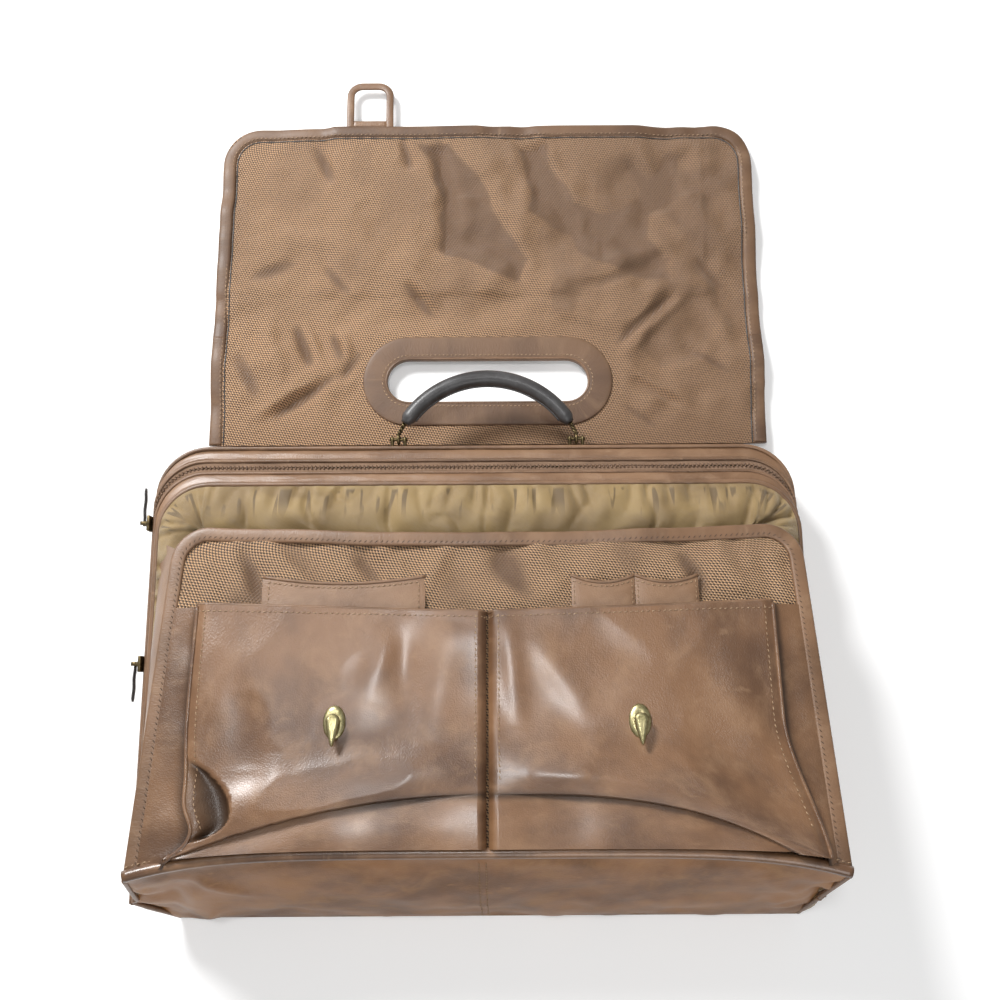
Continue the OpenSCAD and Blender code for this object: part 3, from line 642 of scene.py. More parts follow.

# %% [markdown]
# ## The flap
# The flap is one big sheet: leather outside, woven nylon inside, bound round its edge. Open, it lies on its
# leather side in slow waves, with soft folds that run from the handle slot and its lower corners. Old folds
# have also pressed its threads flat in a few facets, which look smoother and darker; their darkness is partly
# painted shade. The darkening in the fold valleys and towards the right is painted shade.

# %% Folds and facets of the flap
FLAP_LINES = [(-178, 192, -128, 232, 5, 3.4), (-168, 190, -116, 226, 4, -3.2),
              (-150, 268, -136, 232, 5, -3.8), (-142, 268, -128, 236, 4, 2.6),
              (-122, 262, -112, 236, 4, -3.0), (-114, 262, -105, 238, 3.5, 2.0),
              (-108, 214, -92, 238, 4, 2.4), (-112, 222, -98, 246, 4, -2.6), (-66, 302, -40, 272, 5, -2.8),
              (-58, 306, -34, 276, 4, 2.0), (96, 246, 150, 296, 5, -3.6), (102, 240, 156, 290, 4, 2.8),
              (104, 232, 160, 200, 4, 3.0), (108, 224, 160, 192, 4, -3.0), (112, 214, 176, 184, 4, 2.6),
              (100, 204, 134, 180, 4, -2.6), (60, 300, 150, 336, 9, 3.0), (66, 292, 156, 328, 7, -3.2),
              (-40, 430, -24, 352, 9, -3.2), (-30, 430, -14, 352, 6, 2.6), (-18, 350, 30, 318, 8, -3.0),
              (36, 424, 66, 352, 9, -3.4), (46, 424, 76, 352, 6, 2.4), (76, 352, 140, 318, 8, -3.0),
              (104, 420, 156, 352, 10, -3.2), (112, 428, 164, 360, 7, 2.6), (150, 400, 188, 330, 8, 3.0),
              (160, 330, 190, 290, 6, -3.0), (170, 300, 188, 250, 7, 2.8), (150, 250, 194, 222, 5, -2.8),
              (-140, 424, -122, 386, 6, -3.0), (-130, 424, -114, 392, 5, 2.0),
              (-70, 428, -60, 396, 5, -2.6), (-178, 352, -120, 330, 8, 2.2),
              (-190, 304, -150, 322, 6, -2.4), (40, 285, 94, 262, 5, 2.4), (-130, 318, -108, 292, 5, -2.4),
              (-176, 272, -160, 236, 6, 2.6), (-196, 246, -176, 206, 6, -2.6),
              (-20, 183, -28, 196, 5, 1.8), (20, 182, 24, 196, 5, 1.6), (48, 182, 40, 195, 5, 1.6)]

FACETS = [   # how flat the threads lie in each, which also sets its painted shade, and its outline in millimetres
    (0.85, [(-60, 422), (-32, 420), (-3, 392), (8, 361), (24, 335), (34, 320), (26, 302), (-6, 314),
            (-32, 322), (-38, 329), (-39, 381), (-46, 407)]),
    (0.85, [(24, 420), (47, 422), (53, 402), (72, 371), (90, 365), (120, 374), (131, 397), (144, 415),
            (164, 415), (171, 379), (145, 367), (130, 358), (131, 341), (141, 328), (145, 303),
            (120, 304), (89, 313), (68, 327), (63, 342), (33, 358), (33, 380)]),
    (0.50, [(66, 419), (117, 415), (127, 390), (103, 368), (75, 378)]),
    (0.60, [(50, 318), (69, 318), (73, 286), (66, 271), (53, 276), (48, 299)]),
    (0.62, [(118, 245), (123, 278), (140, 294), (167, 298), (195, 294), (177, 261), (164, 235),
            (133, 232)]),
    (0.40, [(176, 410), (204, 404), (204, 350), (184, 322), (172, 350)]),
    (0.35, [(-109, 418), (-92, 420), (-90, 398), (-98, 378), (-112, 392)])]
PRESSED_IN = [outline for _, outline in FACETS[:2] + FACETS[4:5]]


def depth_inside(outline, x, y):
    """How far a point is inside an outline, or less than 0 when it is outside."""
    nearest, odd = 1e9, False
    for (x0, y0), (x1, y1) in zip(outline, outline[1:] + outline[:1]):
        dx, dy = x1 - x0, y1 - y0
        k = min(max(((x - x0) * dx + (y - y0) * dy) / (dx * dx + dy * dy), 0.0), 1.0)
        nearest = min(nearest, hypot(x - x0 - k * dx, y - y0 - k * dy))
        if (y0 > y) != (y1 > y) and x < x0 + dx * (y - y0) / dy:
            odd = not odd
    return nearest if odd else -nearest


print("folds:", len(FLAP_LINES), "facets:", len(FACETS))

# %% [markdown]
# ### Shape of the flap
# One function gives the lining's height everywhere, and every piece on the flap asks it. The flap stays
# calm round the slot and near its bends, and low where it lies on the pockets when the case is shut.

# %% Shape of the flap
CALM_X, CALM_Y = 0.0945, 0.034


def flap_half(y):
    """Half the flap's width, which waves a little."""
    return FLAP_HALF + 0.0022 * swell(y, 3.1, 0.09) - 0.001


def flap_z(x, y):
    """Height of the flap's lining."""
    calm = ease(0.0, 0.02, hypot(max(abs(x) - CALM_X, 0), max(abs(y - SLOT_Y) - CALM_Y, 0)))
    calm *= ease(0.004, 0.03, y - FOLD_Y) * ease(0.024, 0.052, hypot(x - LOCK_X, y - EDGE_Y))
    wave = 0.0055 * swell(x, y, 0.11, 2.0) + 0.0050 * swell(x, y, 0.042, 5.0)
    wave += 0.0022 * swell(x, y, 0.017, 8.0)
    for outline in PRESSED_IN:
        if abs(x * 1000 - outline[0][0]) < 150 and abs(y * 1000 - outline[0][1]) < 130:
            wave -= 0.0030 * ease(-5.0, 9.0, depth_inside(outline, x * 1000, y * 1000)) - 0.0006
    over_pockets = ease(0.352, 0.374, y)
    z = FLAP_Z + FLAP_T + calm * (wave - 0.0004 - 0.0012 * over_pockets + creases(x, y, FLAP_LINES))
    highest = mix(mix(0.0125, 0.0098, over_pockets), 0.0086, ease(0.405, 0.422, y))
    highest -= 0.0027 * exp(-((y - 0.220) / 0.014) ** 2)
    return min(max(z, FLAP_T + 0.0008), highest)


def flap_point(u, v, y0, y1):
    """A point of the lining: u across and v from y0 to y1. The far corners are round."""
    y = y0 + (y1 - y0) * v
    half = flap_half(y) - 0.002
    near_corner = y - (EDGE_Y - FLAP_R)
    if near_corner > 0:
        half -= FLAP_R - max(FLAP_R ** 2 - min(near_corner, FLAP_R) ** 2, 0) ** 0.5
    x = (2 * u - 1) * half
    return Vector((x, y, flap_z(x, y)))


def flap_satin_and_shade(p, u, v):
    """1 where the lining is flatter and darker: in a few facets with wavy borders, partly painted shade, and
    as painted shade in fold valleys and towards the far right.
    """
    x, y = p.x * 1000 + 5 * swell(p.x, p.y, 0.020, 12.0), p.y * 1000 + 5 * swell(p.x, p.y, 0.022, 13.0)
    # painted shade: darker towards the right, where less light falls, and a little beyond the middle of the
    # flap
    flat = 0.08 + 0.44 * ease(-0.12, 0.20, p.x) + 0.10 * ease(0.26, 0.36, p.y)
    flat += 0.16 * ease(0.0, 0.3, swell(p.x, p.y, 0.045, 14.0)) * ease(0.25, 0.30, p.y)
    # painted shade in the valleys of the folds
    flat = max(flat, 0.85 * ease(0.0, 0.0028, -creases(p.x, p.y, FLAP_LINES)))
    # the facets: flat-lying threads, whose darkness is partly painted shade
    for amount, outline in FACETS:
        if abs(x - outline[0][0]) < 130 and abs(y - outline[0][1]) < 130:
            flat = max(flat, amount * ease(-1.5, 2.5, depth_inside(outline, x, y)))
    return min(flat, 1.0)


UPPER_Y0, UPPER_Y1 = 0.1700, 0.257
TO_TOP = ("rear_case", "flap_top", (0, UPPER_Y0, FLAP_Z), (0, 0.1830, FLAP_Z))
TO_FRONT = ("flap_top", "flap_front", (0, UPPER_Y1, FLAP_Z), (0, 0.2680, FLAP_Z))
print("flap from", UPPER_Y0, "to", EDGE_Y, "m, up to %.1f mm high" % (flap_z(0.14, 0.27) / MM))

# %% [markdown]
# ### The two halves
# The flap bends in two places when it closes, over the top of the case and at the top of the front. The sheet
# is cut in two pieces of one shared shape. Each lining is a skin, and its leather side is a second surface
# below it, with calmer waves, as stiff leather has.

# %% The flap's two halves
def back_with_leather(piece):
    """Closes a lining with its leather: a calmer surface beneath it, joined to it round the edges."""
    bm = bmesh.new()
    bm.from_mesh(piece.data)
    lining_side = set(bm.verts)
    bmesh.ops.solidify(bm, geom=bm.faces[:], thickness=FLAP_T)
    below = [vert for vert in bm.verts if vert not in lining_side]
    for vert in below:
        x, y = vert.co.x, vert.co.y
        z = flap_z(x, y)
        inland = ease(0.010, 0.030, min(flap_half(y) - abs(x), EDGE_Y - y))
        vert.co.z = min(FLAP_Z + (z - FLAP_T - FLAP_Z) * mix(1.0, 0.40, inland), z - 0.0014)
    for face in bm.faces:
        face.material_index = 0 if all(vert in lining_side for vert in face.verts) else 1
    bmesh.ops.recalc_face_normals(bm, faces=bm.faces)
    bm.to_mesh(piece.data)
    bm.free()
    print(piece.name, "lining", len(lining_side), "and leather", len(below), "points")


def whole(u, v):
    """The upper half is cut away round the handle slot, beneath the patch."""
    x, y = (2 * u - 1) * FLAP_HALF, mix(UPPER_Y0, UPPER_Y1, v)
    return hypot(max(abs(x) - SLOT_X, 0), y - SLOT_Y) >= SLOT_R + 0.004


upper_flap = skin("flap_top_sheet", 220, 46, (0.43, 0.0855),
                  lambda u, v: flap_point(u, v, UPPER_Y0, UPPER_Y1), [LINING, BODY], satin_and_shade=flap_satin_and_shade,
                  keep=whole)
back_with_leather(upper_flap)
settle(upper_flap, TO_TOP, "woven_nylon", "flap_top_leather", "flap_top_lining", "fold_strip")
lower_flap = skin("flap_front_sheet", 220, 94, (0.43, 0.179),
                  lambda u, v: flap_point(u, v, UPPER_Y1, EDGE_Y - 0.0015), [LINING, BODY], satin_and_shade=flap_satin_and_shade)
back_with_leather(lower_flap)
settle(lower_flap, TO_FRONT, "woven_nylon", "flap_front_leather", "flap_front_lining")

# %% [markdown]
# ### Slot patch
# The handle comes through a slot, which a sewn leather patch keeps from tearing. It is a wide flat strap on a
# path round the slot, and it takes its height from the flap, so it waves with it.

# %% Slot patch
def slot_path(grow, lift, count=120):
    """Round the slot, grow metres outside it and lift above the lining."""
    r = SLOT_R + grow
    straight, bend = 2 * SLOT_X, pi * r
    total, points = 2 * (straight + bend), []
    for k in range(count):
        s = total * k / count
        if s < straight:
            x, y = -SLOT_X + s, -r
        elif s < straight + bend:
            a = (s - straight) / r - pi / 2
            x, y = SLOT_X + r * cos(a), r * sin(a)
        elif s < 2 * straight + bend:
            x, y = SLOT_X - (s - straight - bend), r
        else:
            a = (s - 2 * straight - bend) / r + pi / 2
            x, y = -SLOT_X + r * cos(a), r * sin(a)
        points.append(Vector((x, SLOT_Y + y, flap_z(x, SLOT_Y + y) + lift)))
    return points


trim("slot_patch_leather", slot_path(0.0090, 0.0001), 0.0091, 0.0014, "flap_top", "slot_patch", of=EDGE,
     sides=20, closed=True, square=0.45)
trim("slot_rolled_edge", slot_path(0.0002, -0.0012), 0.0011, 0.0028, "flap_top", closed=True, square=0.7)
for word, grow, lift in (("inner", 0.0030, 0.0014), ("outer", 0.0155, 0.0010)):
    stitches("slot_stitches_" + word, slot_path(grow, lift, 160), "flap_top", closed=True, step=0.0032,
             thick=0.0005)

# %% [markdown]
# ### Flap bindings
# A strip of leather is folded over the flap's edge and sewn through. Where it ends, a thin strap of dark
# leather is laid in the groove as painted shadow.
# The sides of the upper half and the rim of the lower half are bound one by one, each following the shape of
# its sheet.

# %% Flap bindings
def flap_edge(side, y0, y1, inset, lift):
    """Down one side of the flap, inset from its edge."""
    points = [(side * (flap_half(y) - inset), y) for y in spread(y0, y1, 60)]
    return [Vector((x, y, flap_z(x, y) + lift)) for x, y in points]


def over_the_top(left, corner_x, corner_y, r, top):
    """A flat path up the left side, round a corner, along the top and down the other side."""
    arc = [(corner_x + r * cos(a), corner_y + r * sin(a)) for a in (pi / 2 * k / 12 for k in range(1, 12))]
    return left + [(-x, y) for x, y in arc] + top + arc[::-1] + [(-x, y) for x, y in left[::-1]]


def flap_rim(inset, lift):
    """Up the left side of the flap's free half, round both corners and down the right side."""
    corner_y = EDGE_Y - FLAP_R
    corner_x = flap_half(corner_y) - FLAP_R
    left = [(-(flap_half(y) - inset), y) for y in spread(UPPER_Y1 - 0.0030, corner_y, 61)]
    top = [(x, EDGE_Y - inset + 0.0014 * swell(x, 0.4, 0.07) * sin(pi * (x + corner_x) / (2 * corner_x)))
           for x in spread(-corner_x, corner_x, 81)]
    flat = over_the_top(left, corner_x, corner_y, FLAP_R - inset, top)
    return [Vector((x, y, flap_z(x, y) + lift)) for x, y in flat]


# the second size and the second set of options are for a thin strap of dark grip leather, laid as painted
# shadow in the groove inside the binding
BINDING, GROOVE_SHADOW = (0.0052, 0.0029), (0.0005, 0.0005)
folded_strip, groove_shadow_strap = {"of": EDGE, "sides": 16, "square": 0.6}, {"of": GRIP, "sides": 6}
for side, word in SIDES:
    node = ["flap_top_binding"] if side < 0 else []
    trim("flap_binding_" + word, flap_edge(side, 0.1705, UPPER_Y1, 0.0048, -0.0018), *BINDING, TO_TOP, *node,
         **folded_strip)
    stitches("flap_stitches_" + word, flap_edge(side, 0.176, UPPER_Y1 - 0.001, 0.0078, 0.0011), TO_TOP)
    # painted shadow: a thin dark strap in the groove inside the binding
    trim("flap_groove_" + word, flap_edge(side, 0.1705, UPPER_Y1, 0.0108, 0.0001), *GROOVE_SHADOW, TO_TOP,
         **groove_shadow_strap)
trim("flap_binding_rim", flap_rim(0.0048, -0.0018), *BINDING, TO_FRONT, "flap_front_binding", **folded_strip,
     taper=lambda k: 0.96 + 0.04 * ease(0.0, 0.006, min(k, 1 - k)))
# painted shadow in the groove inside the rim's binding
trim("flap_groove_rim", flap_rim(0.0108, 0.0001), *GROOVE_SHADOW, TO_FRONT, **groove_shadow_strap)
stitches("flap_stitches_rim", flap_rim(0.0078, 0.0011), TO_FRONT)

# %% [markdown]
# ### Loops
# Two leather loops on the flap's free edge close over the turn locks. The left one lies spread out, and the
# right one is folded beneath the flap. Each is a U of flat strap with a short foot across its open end.

# %% Loops that the locks close through
LOOP_HALF, LOOP_REACH, LOOP_R = 0.016, 0.0372, 0.0095
SPREAD_Z, FOLDED_Z = 0.0069, 0.0040


def loop_path(side, folded):
    """Out of the flap's edge, round and back, or the same folded beneath the flap."""
    half, reach, r = LOOP_HALF, LOOP_REACH, LOOP_R
    flat = [(-half, y) for y in spread(0.0 if folded else -0.006, 0.022, 8)]
    flat += [(-half + r - r * cos(a), reach - r + r * sin(a)) for a in spread(0, pi / 2, 9)]
    flat += [(-x, y) for x, y in flat[::-1]]
    if folded:
        return [Vector((side * LOCK_X + x, EDGE_Y - y, FOLDED_Z)) for x, y in flat]
    return [Vector((side * LOCK_X + x, EDGE_Y + y, SPREAD_Z + 0.0012 * sin(90 * y))) for x, y in flat]


for side, word in SIDES:
    folded = side > 0
    body = "loop_" + word
    trim("loop_strap_" + word, loop_path(side, folded), 0.0030, 0.0010, body, body, square=0.6)
    foot_y, foot_z = (EDGE_Y - 0.0045, FOLDED_Z) if folded else (EDGE_Y + 0.0030, SPREAD_Z)
    foot_path = [Vector((side * LOCK_X + x, foot_y, foot_z)) for x in spread(-LOOP_HALF, LOOP_HALF, 7)]
    trim("loop_foot_" + word, foot_path, 0.0028, 0.0009, body, sides=10, square=0.6)

# %% [markdown]
# ## The rear shell
# Leather walls stand up from the back panel to the rear rim. They are a soft skin that bulges at the sides,
# most on the left, and stays flat at the top where the handle is fixed. The back itself is a flat plate
# with a welt round it.

# %% Walls and back
def wall_point(t, v):
    """t runs round the case and v up from the back. The sides bulge and the top stays flat."""
    z = mix(LEATHER_T, REAR_Z, v)
    outline = mix_outline(BACK, REAR, v)
    side = 1 - ease(0.27, 0.36, t) + ease(0.64, 0.73, t)
    out = sin(pi * v) * (0.0010 + side * (0.0022 + 0.0012 * swell(t, v, 0.05, 1.0)))
    out += side * 0.0008 * swell(t * 8, v, 0.25, 4.0) * sin(pi * v)
    return round_case(outline, t, z, out)


walls = skin("case_wall", 200, 16, (1.07, 0.046), wall_point, [BODY, GOLD], thick=LEATHER_T, flip=True)
settle(walls, "rear_case", "leather", "gusset_rear")


def case_ring(outline, z, out, count=140):
    return [round_case(outline, t, z, out) for t in spread(0.0, 1.0, count)]


def back_ring(inset):
    ring = case_ring(BACK, 0.0, -inset)
    foot = bottom_y(0) + inset
    return [Vector((p.x, max(p.y, foot), 0)) for p in ring]


BACK_RINGS = [(0.0040, 0.0002), (0.0012, 0.0004), (0.0006, 0.0014), (0.0010, 0.0026), (0.0040, 0.0030)]
back_rims = [back_ring(inset) for inset, _ in BACK_RINGS]
back = wrap("back_leather", 140, len(BACK_RINGS) - 1, (1.5, 0.01),
            lambda i, j: back_rims[j][i] + Vector((0, 0, BACK_RINGS[j][1])), [BODY])
settle(back, "rear_case", "leather", "back_panel")
trim("back_welt", case_ring(BACK, 0.0018, 0.0002), 0.0016, 0.0016, "rear_case", sides=8)

# %% [markdown]
# ## The zip band
# A band of two leather strips and a zip runs round the case. The strips are rolled at their edges, the tape
# is sunk between them, and the two rows of coil teeth meet in the middle. A welt of piping closes each side
# of the band. The rear half stays on the rear shell, and the front half moves with the front.

# %% Band surface
def band_point(t, q, lift=0.0):
    """q is 0 at the rear rim, 0.5 at the zip and 1 at the front rim."""
    def surface(a, b):
        low, high, k, z0, z1 = (REAR, ZIP, b * 2, REAR_Z, ZIP_Z) if b < 0.5 else (
            ZIP, FRONT, b * 2 - 1, ZIP_Z, FRONT_Z)
        return round_case(mix_outline(low, high, k), min(max(a, 0), 1), mix(z0, z1, k))
    p = surface(t, q)
    along = surface(t + 0.002, q) - surface(t - 0.002, q)
    over = surface(t, min(q + 0.02, 1)) - surface(t, max(q - 0.02, 0))
    return p + along.cross(over).normalized() * -lift


def band_line(q, lift, count):
    return [band_point(t, q, lift) for t in spread(0.0, 1.0, count)]


STRIP_T, TAPE_T = 0.0012, 0.0006


def band_strip(name, q0, q1, roll, body, slot, material, node, thick=STRIP_T):
    """A strip of the band from q0 to q1, standing roll proud in its middle."""
    def shape(t, v):
        pucker = 0.0004 * swell(t * 6, v, 0.04, q0) + 0.0006 * swell(t, v, 0.03, q1)
        return band_point(t, mix(q0, q1, v), roll * (1 - (2 * v - 1) ** 4) + pucker)
    strip = skin(name, 260, 8, (1.07, 0.029 * (q1 - q0)), shape, [material], thick=thick, flip=True)
    return settle(strip, body, slot, node)


band_strip("rim_strip_rear_leather", 0.02, 0.33, 0.0016, "rear_case", "leather", BODY, "rim_strip_rear")
band_strip("rim_strip_front_leather", 0.67, 0.985, 0.0018, "front_case", "leather", BODY, "rim_strip_front")
band_strip("zip_tape_cloth_rear", 0.30, 0.485, 0.0001, "rear_case", "zip_tape", TAPE, "zip_tape_rear",
           TAPE_T)
band_strip("zip_tape_cloth_front", 0.515, 0.70, 0.0001, "front_case", "zip_tape", TAPE, "zip_tape_front",
           TAPE_T)
for q, word, body in ((0.335, "rear", "rear_case"), (0.665, "front", "front_case")):
    trim("strip_lip_" + word, band_line(q, 0.0011, 260), 0.0011, 0.0009, body, sides=8)

# %% [markdown]
# ### Teeth and piping
# Each row of teeth is one mesh of small rounded blocks, and the two rows are set half a step apart, so they
# mesh. Piping is a thin round strap along each rim.

# %% Teeth and piping
TOOTH_STEP = 0.0029


def zip_teeth(name, q, body, phase):
    """A row of small rounded blocks, set across the zip."""
    bm = bmesh.new()
    for k, (point, way) in enumerate(spaced(band_line(q, 0.0004, 400), TOOTH_STEP)):
        t = min((k + 0.5) / 370, 1)
        out = band_point(t, q, 0.002) - band_point(t, q, 0.0)
        side = way.cross(out).normalized()
        turn = Matrix((way, side, way.cross(side))).transposed().to_4x4()
        place = Matrix.Translation(point + way * phase) @ turn @ Matrix.Diagonal((0.0008, 0.0011, 0.0008, 1))
        bmesh.ops.create_uvsphere(bm, u_segments=8, v_segments=4, radius=1.0, matrix=place)
    return settle(new_piece(name, bm, TEETH), body, "zip_tape")


zip_teeth("zip_teeth_rear", 0.476, "rear_case", 0.0)
zip_teeth("zip_teeth_front", 0.524, "front_case", TOOTH_STEP / 2)
trim("piping_rear_welt", case_ring(REAR, REAR_Z + 0.0004, 0.0010, 220), 0.0015, 0.0015, "rear_case",
     "piping_rear", sides=10)
trim("piping_front_welt", case_ring(FRONT, FRONT_Z + 0.0014, 0.0008, 220), 0.0021, 0.0021, "front_case",
     "piping_front")
stitches("band_stitches_front", band_line(0.93, 0.0018, 300), "front_case")

# %% [markdown]
# ## The gold lining
# Between the zip band and the front panel a gold-tan lining shows. It is cut fuller than the case, so it
# stands in gathers along the piping. The sheet runs down from the piping and over the wall between the two
# compartments, and the gathers are uneven waves across it that fade away from the seam.

# %% Gathered lining
def gather(t, d):
    """Height of the lining: a puffed edge, and folds that run away from the piping."""
    s = t * 1.07
    lean = 70.0 * (d - 0.008) * swell(s, 0.7, 0.06)
    beat = s / 0.041 + 1.8 * swell(s, 0.2, 0.05) + 0.7 * lean
    fold = 1 - abs(sin(pi * beat)) ** 0.45
    small = 1 - abs(sin(pi * (s / 0.0150 + 1.6 * swell(s, 6.1, 0.03) - lean))) ** 0.5
    strength = 0.45 + 1.6 * abs(swell(s, 4.4, 0.05))
    puff = 0.0105 * sin(pi * min(d / 0.044, 1.0)) ** 0.6
    near = ease(0.0, 0.003, d) * (1 - ease(0.009, 0.024, d)) * (0.3 + 1.4 * abs(swell(s, 9.4, 0.035)))
    folds = fold * strength * 0.0062 * ease(0.0, 0.006, d) * (1 - ease(0.020, 0.048, d))
    uneven = 0.0022 * swell(s, d, 0.018, 3.0) * ease(0.0, 0.012, d)
    return puff - folds - small * 0.0060 * near + uneven


def gathered(t, v):
    t = mix(0.045, 0.955, t)
    d = 0.001 + v * (0.020 + 0.046 * ease(0.20, 0.34, t) * (1 - ease(0.66, 0.80, t)))
    p = round_case(FRONT, t, FRONT_Z, -d)
    return Vector((p.x, p.y, FRONT_Z + 0.0030 + gather(t, d)))


# the attribute masks the painted shade strokes of the gathers, near the piping
lining = skin("compartment_lining", 460, 34, (1.0, 0.066), gathered, [GATHERED], thick=NYLON_T, flip=True,
              satin_and_shade=lambda p, u, v: ease(0.02, 0.06, v) * (1 - ease(0.14, 0.42, v)) * 0.9)
settle(lining, "front_case", "gold_nylon")


# %% [markdown]
# ### Floor of the front compartment
# The wall between the two compartments is the floor that the front panel lies over. It is one smooth sheet
# with the case's round corners.

# %% Compartment floor
def floor_point(u, v):
    y = mix(bottom_y(FRONT_Z) + 0.004, FRONT[2] - 0.004, v)
    corner = max(y - (FRONT[2] - FRONT[3]), 0) / FRONT[3]
    shrink = 0.004 + FRONT[3] * (1 - max(1 - corner ** 2, 0.0) ** 0.5)
    x = mix(FRONT[0] + shrink, FRONT[1] - shrink, u)
    return Vector((x, y, FRONT_Z + 0.0022 + 0.0008 * swell(x, y, 0.06)))


floor_sheet = skin("compartment_floor", 60, 40, (0.44, 0.27), floor_point, [GOLD], thick=LEATHER_T)
settle(floor_sheet, "front_case", "gold_nylon", "partition")

# %% [markdown]
# ## The bottom
# The bottom of the case leans back from the floor to the front edge. It is one leather panel with a seam
# down its middle, crumpled at its ends.

# %% Bottom panel
BOTTOM_LINES = [(-214, 20, -190, 100, 7, -3.0), (-196, 6, -176, 60, 6, 2.6), (-206, 60, -170, 108, 6, -2.4),
                (-165, 10, -120, 40, 8, -1.8), (-186, 96, -150, 70, 5, 2.0), (190, 8, 176, 70, 7, -2.4),
                (205, 60, 168, 100, 7, 2.2), (150, 20, 100, 34, 9, -1.6), (-80, 12, -20, 24, 8, 1.2),
                (-60, 90, -100, 60, 12, 1.4), (40, 84, 90, 60, 12, -1.2)]


def front_rise(x):
    """How far up the panel its bottom piping lies: it sags away from the middle to the corners."""
    return 0.0125 * (1 - min(abs(x) / 0.219, 1) ** 5)


def side_at(z, side):
    """Half width of the case's end at height z."""
    levels = [(0.0, 216, 216), (REAR_Z, 234, 217.5), (ZIP_Z, 235, 217.6), (FRONT_Z, 230, 217.4),
              (PANEL_Z, 219, 219)]
    for (z0, l0, r0), (z1, l1, r1) in zip(levels, levels[1:]):
        if z <= z1:
            k = (z - z0) / (z1 - z0)
            return (-mix(l0, l1, k) if side < 0 else mix(r0, r1, k)) * MM
    return side * PANEL_HALF


def bottom_point(u, v):
    z = mix(0.0004, PANEL_Z - 0.0030, v)
    x = mix(side_at(z, -1) + 0.001, side_at(z, 1) - 0.001, u)
    y = bottom_y(z) + front_rise(x) * v ** 3
    end = ease(0.0, 0.10, u) * (1 - ease(0.90, 1.0, u))
    out = 0.0030 * sin(pi * v) * end + 0.0022 * swell(x, z, 0.045, 2.0) + 0.0010 * swell(x, z, 0.018, 6.0)
    out += creases(x, z, BOTTOM_LINES) + 0.0008 * exp(-((x + 0.003) / 0.0022) ** 2)
    out += (1 - end) * (0.0052 * swell(x, z, 0.015, 9.0) - 0.0022) * sin(pi * v)
    hold = ease(0.0, 0.06, v) * (1 - ease(0.93, 1.0, v))
    return Vector((x, y - out * hold * 0.93, z + out * hold * 0.3))


bottom = skin("bottom_leather", 190, 56, (0.45, 0.122), bottom_point, [SHADE], thick=LEATHER_T)
TO_LID = ("rear_case", "front_case", (0, -0.150, 0.0465), (0, -0.150, 0.0515))
settle(bottom, TO_LID, "leather", "bottom_rear", "bottom_front")

# %% [markdown]
# ### Seams of the bottom
# Two rows of stitches hold the panel's middle seam, and a welt stands on each corner where the bottom meets
# the sides. The zip parts the welts into a rear and a front piece.

# %% Seams of the bottom
def seam_point(x, v):
    left, right = side_at(v * PANEL_Z, -1), side_at(v * PANEL_Z, 1)
    return bottom_point((x - left) / (right - left), v)


for word, x in (("left", -0.0052), ("right", -0.0008)):
    stitches("bottom_stitches_" + word, [seam_point(x, k / 60) for k in range(2, 58)], TO_LID,
             up=Vector((0, -0.93, 0.36)), lift=0.0002)
for side, word in SIDES:
    for z0, z1, half, body in ((0.002, 0.0485, "rear", "rear_case"), (0.0500, 0.1085, "front", "front_case")):
        corner_seam = [Vector((side_at(z, side), bottom_y(z) + 0.001, z)) for z in spread(z0, z1, 24)]
        trim("corner_welt_%s_%s" % (half, word), corner_seam, 0.0016, 0.0016, body, up=Vector((side, 0, 0)),
             sides=8)

# %% [markdown]
# ## Side gussets of the front compartment
# Soft walls close the sides of the front compartment, from the front piping up to the edge of the front
# panel. The panel lifts, and the walls reach from the piping to it.

# %% Side gussets
def panel_half(v):
    return mix(PANEL_HALF, PANEL_TOP_HALF, v / PANEL_L)


TO_PANEL = ("front_case", "front_flap_panel", (0, 0, 0.058), (0, 0, 0.079))
for side, word in SIDES:
    def gusset(u, v, side=side):
        low_y = mix(bottom_y(0.057) + 0.003, 0.088, u)
        low = Vector((FRONT[0] + 0.0015 if side < 0 else FRONT[1] - 0.0015, low_y, 0.0565))
        up_v = mix(0.002, 0.206, u)
        high = on_panel(side * (panel_half(up_v) - 0.004), up_v, -0.0034)
        p = low.lerp(high, v)
        out = 0.0042 * sin(pi * v) + 0.0016 * swell(u * 0.2, v * 0.04, 0.03, 3.0 + side) * sin(pi * v)
        out -= 0.005 * sin(pi * v) * ease(0.75, 1.0, u)
        return p + Vector((side * out, 0, 0))
    wall = skin("side_gusset_" + word, 70, 16, (0.21, 0.05), gusset, [BODY, GOLD], thick=0.0016,
                flip=side < 0)
    settle(wall, TO_PANEL, "leather", "gusset_front_" + word)

# %% [markdown]
# ## The front panel
# The panel is woven nylon, bound with leather on its sides and top, with piping along its bottom. Its top
# edge sags in the middle. Two big polished leather pockets cover most of it, and flat card pockets peep out
# above them.

# %% Woven panel
PANEL_LINES = [(-150, 212, -118, 172, 6, 3.6), (-164, 212, -146, 168, 6, -3.4), (-92, 212, -64, 178, 7, -3.0),
               (-74, 212, -44, 172, 6, 2.8), (-24, 212, -46, 172, 7, 2.4), (4, 212, 30, 168, 8, -3.2),
               (28, 212, 50, 176, 6, 2.6), (150, 212, 170, 172, 7, 2.8), (126, 210, 146, 174, 6, -3.0),
               (-190, 200, -172, 160, 6, 2.4), (190, 204, 196, 160, 6, 2.2), (80, 212, 66, 180, 6, 2.0)]


def panel_dip(x):
    """How far the panel's top edge sags at x."""
    return 0.0055 * max(1 - (x / 0.19) ** 2, 0) + 0.0010 * swell(x, 0.3, 0.05)


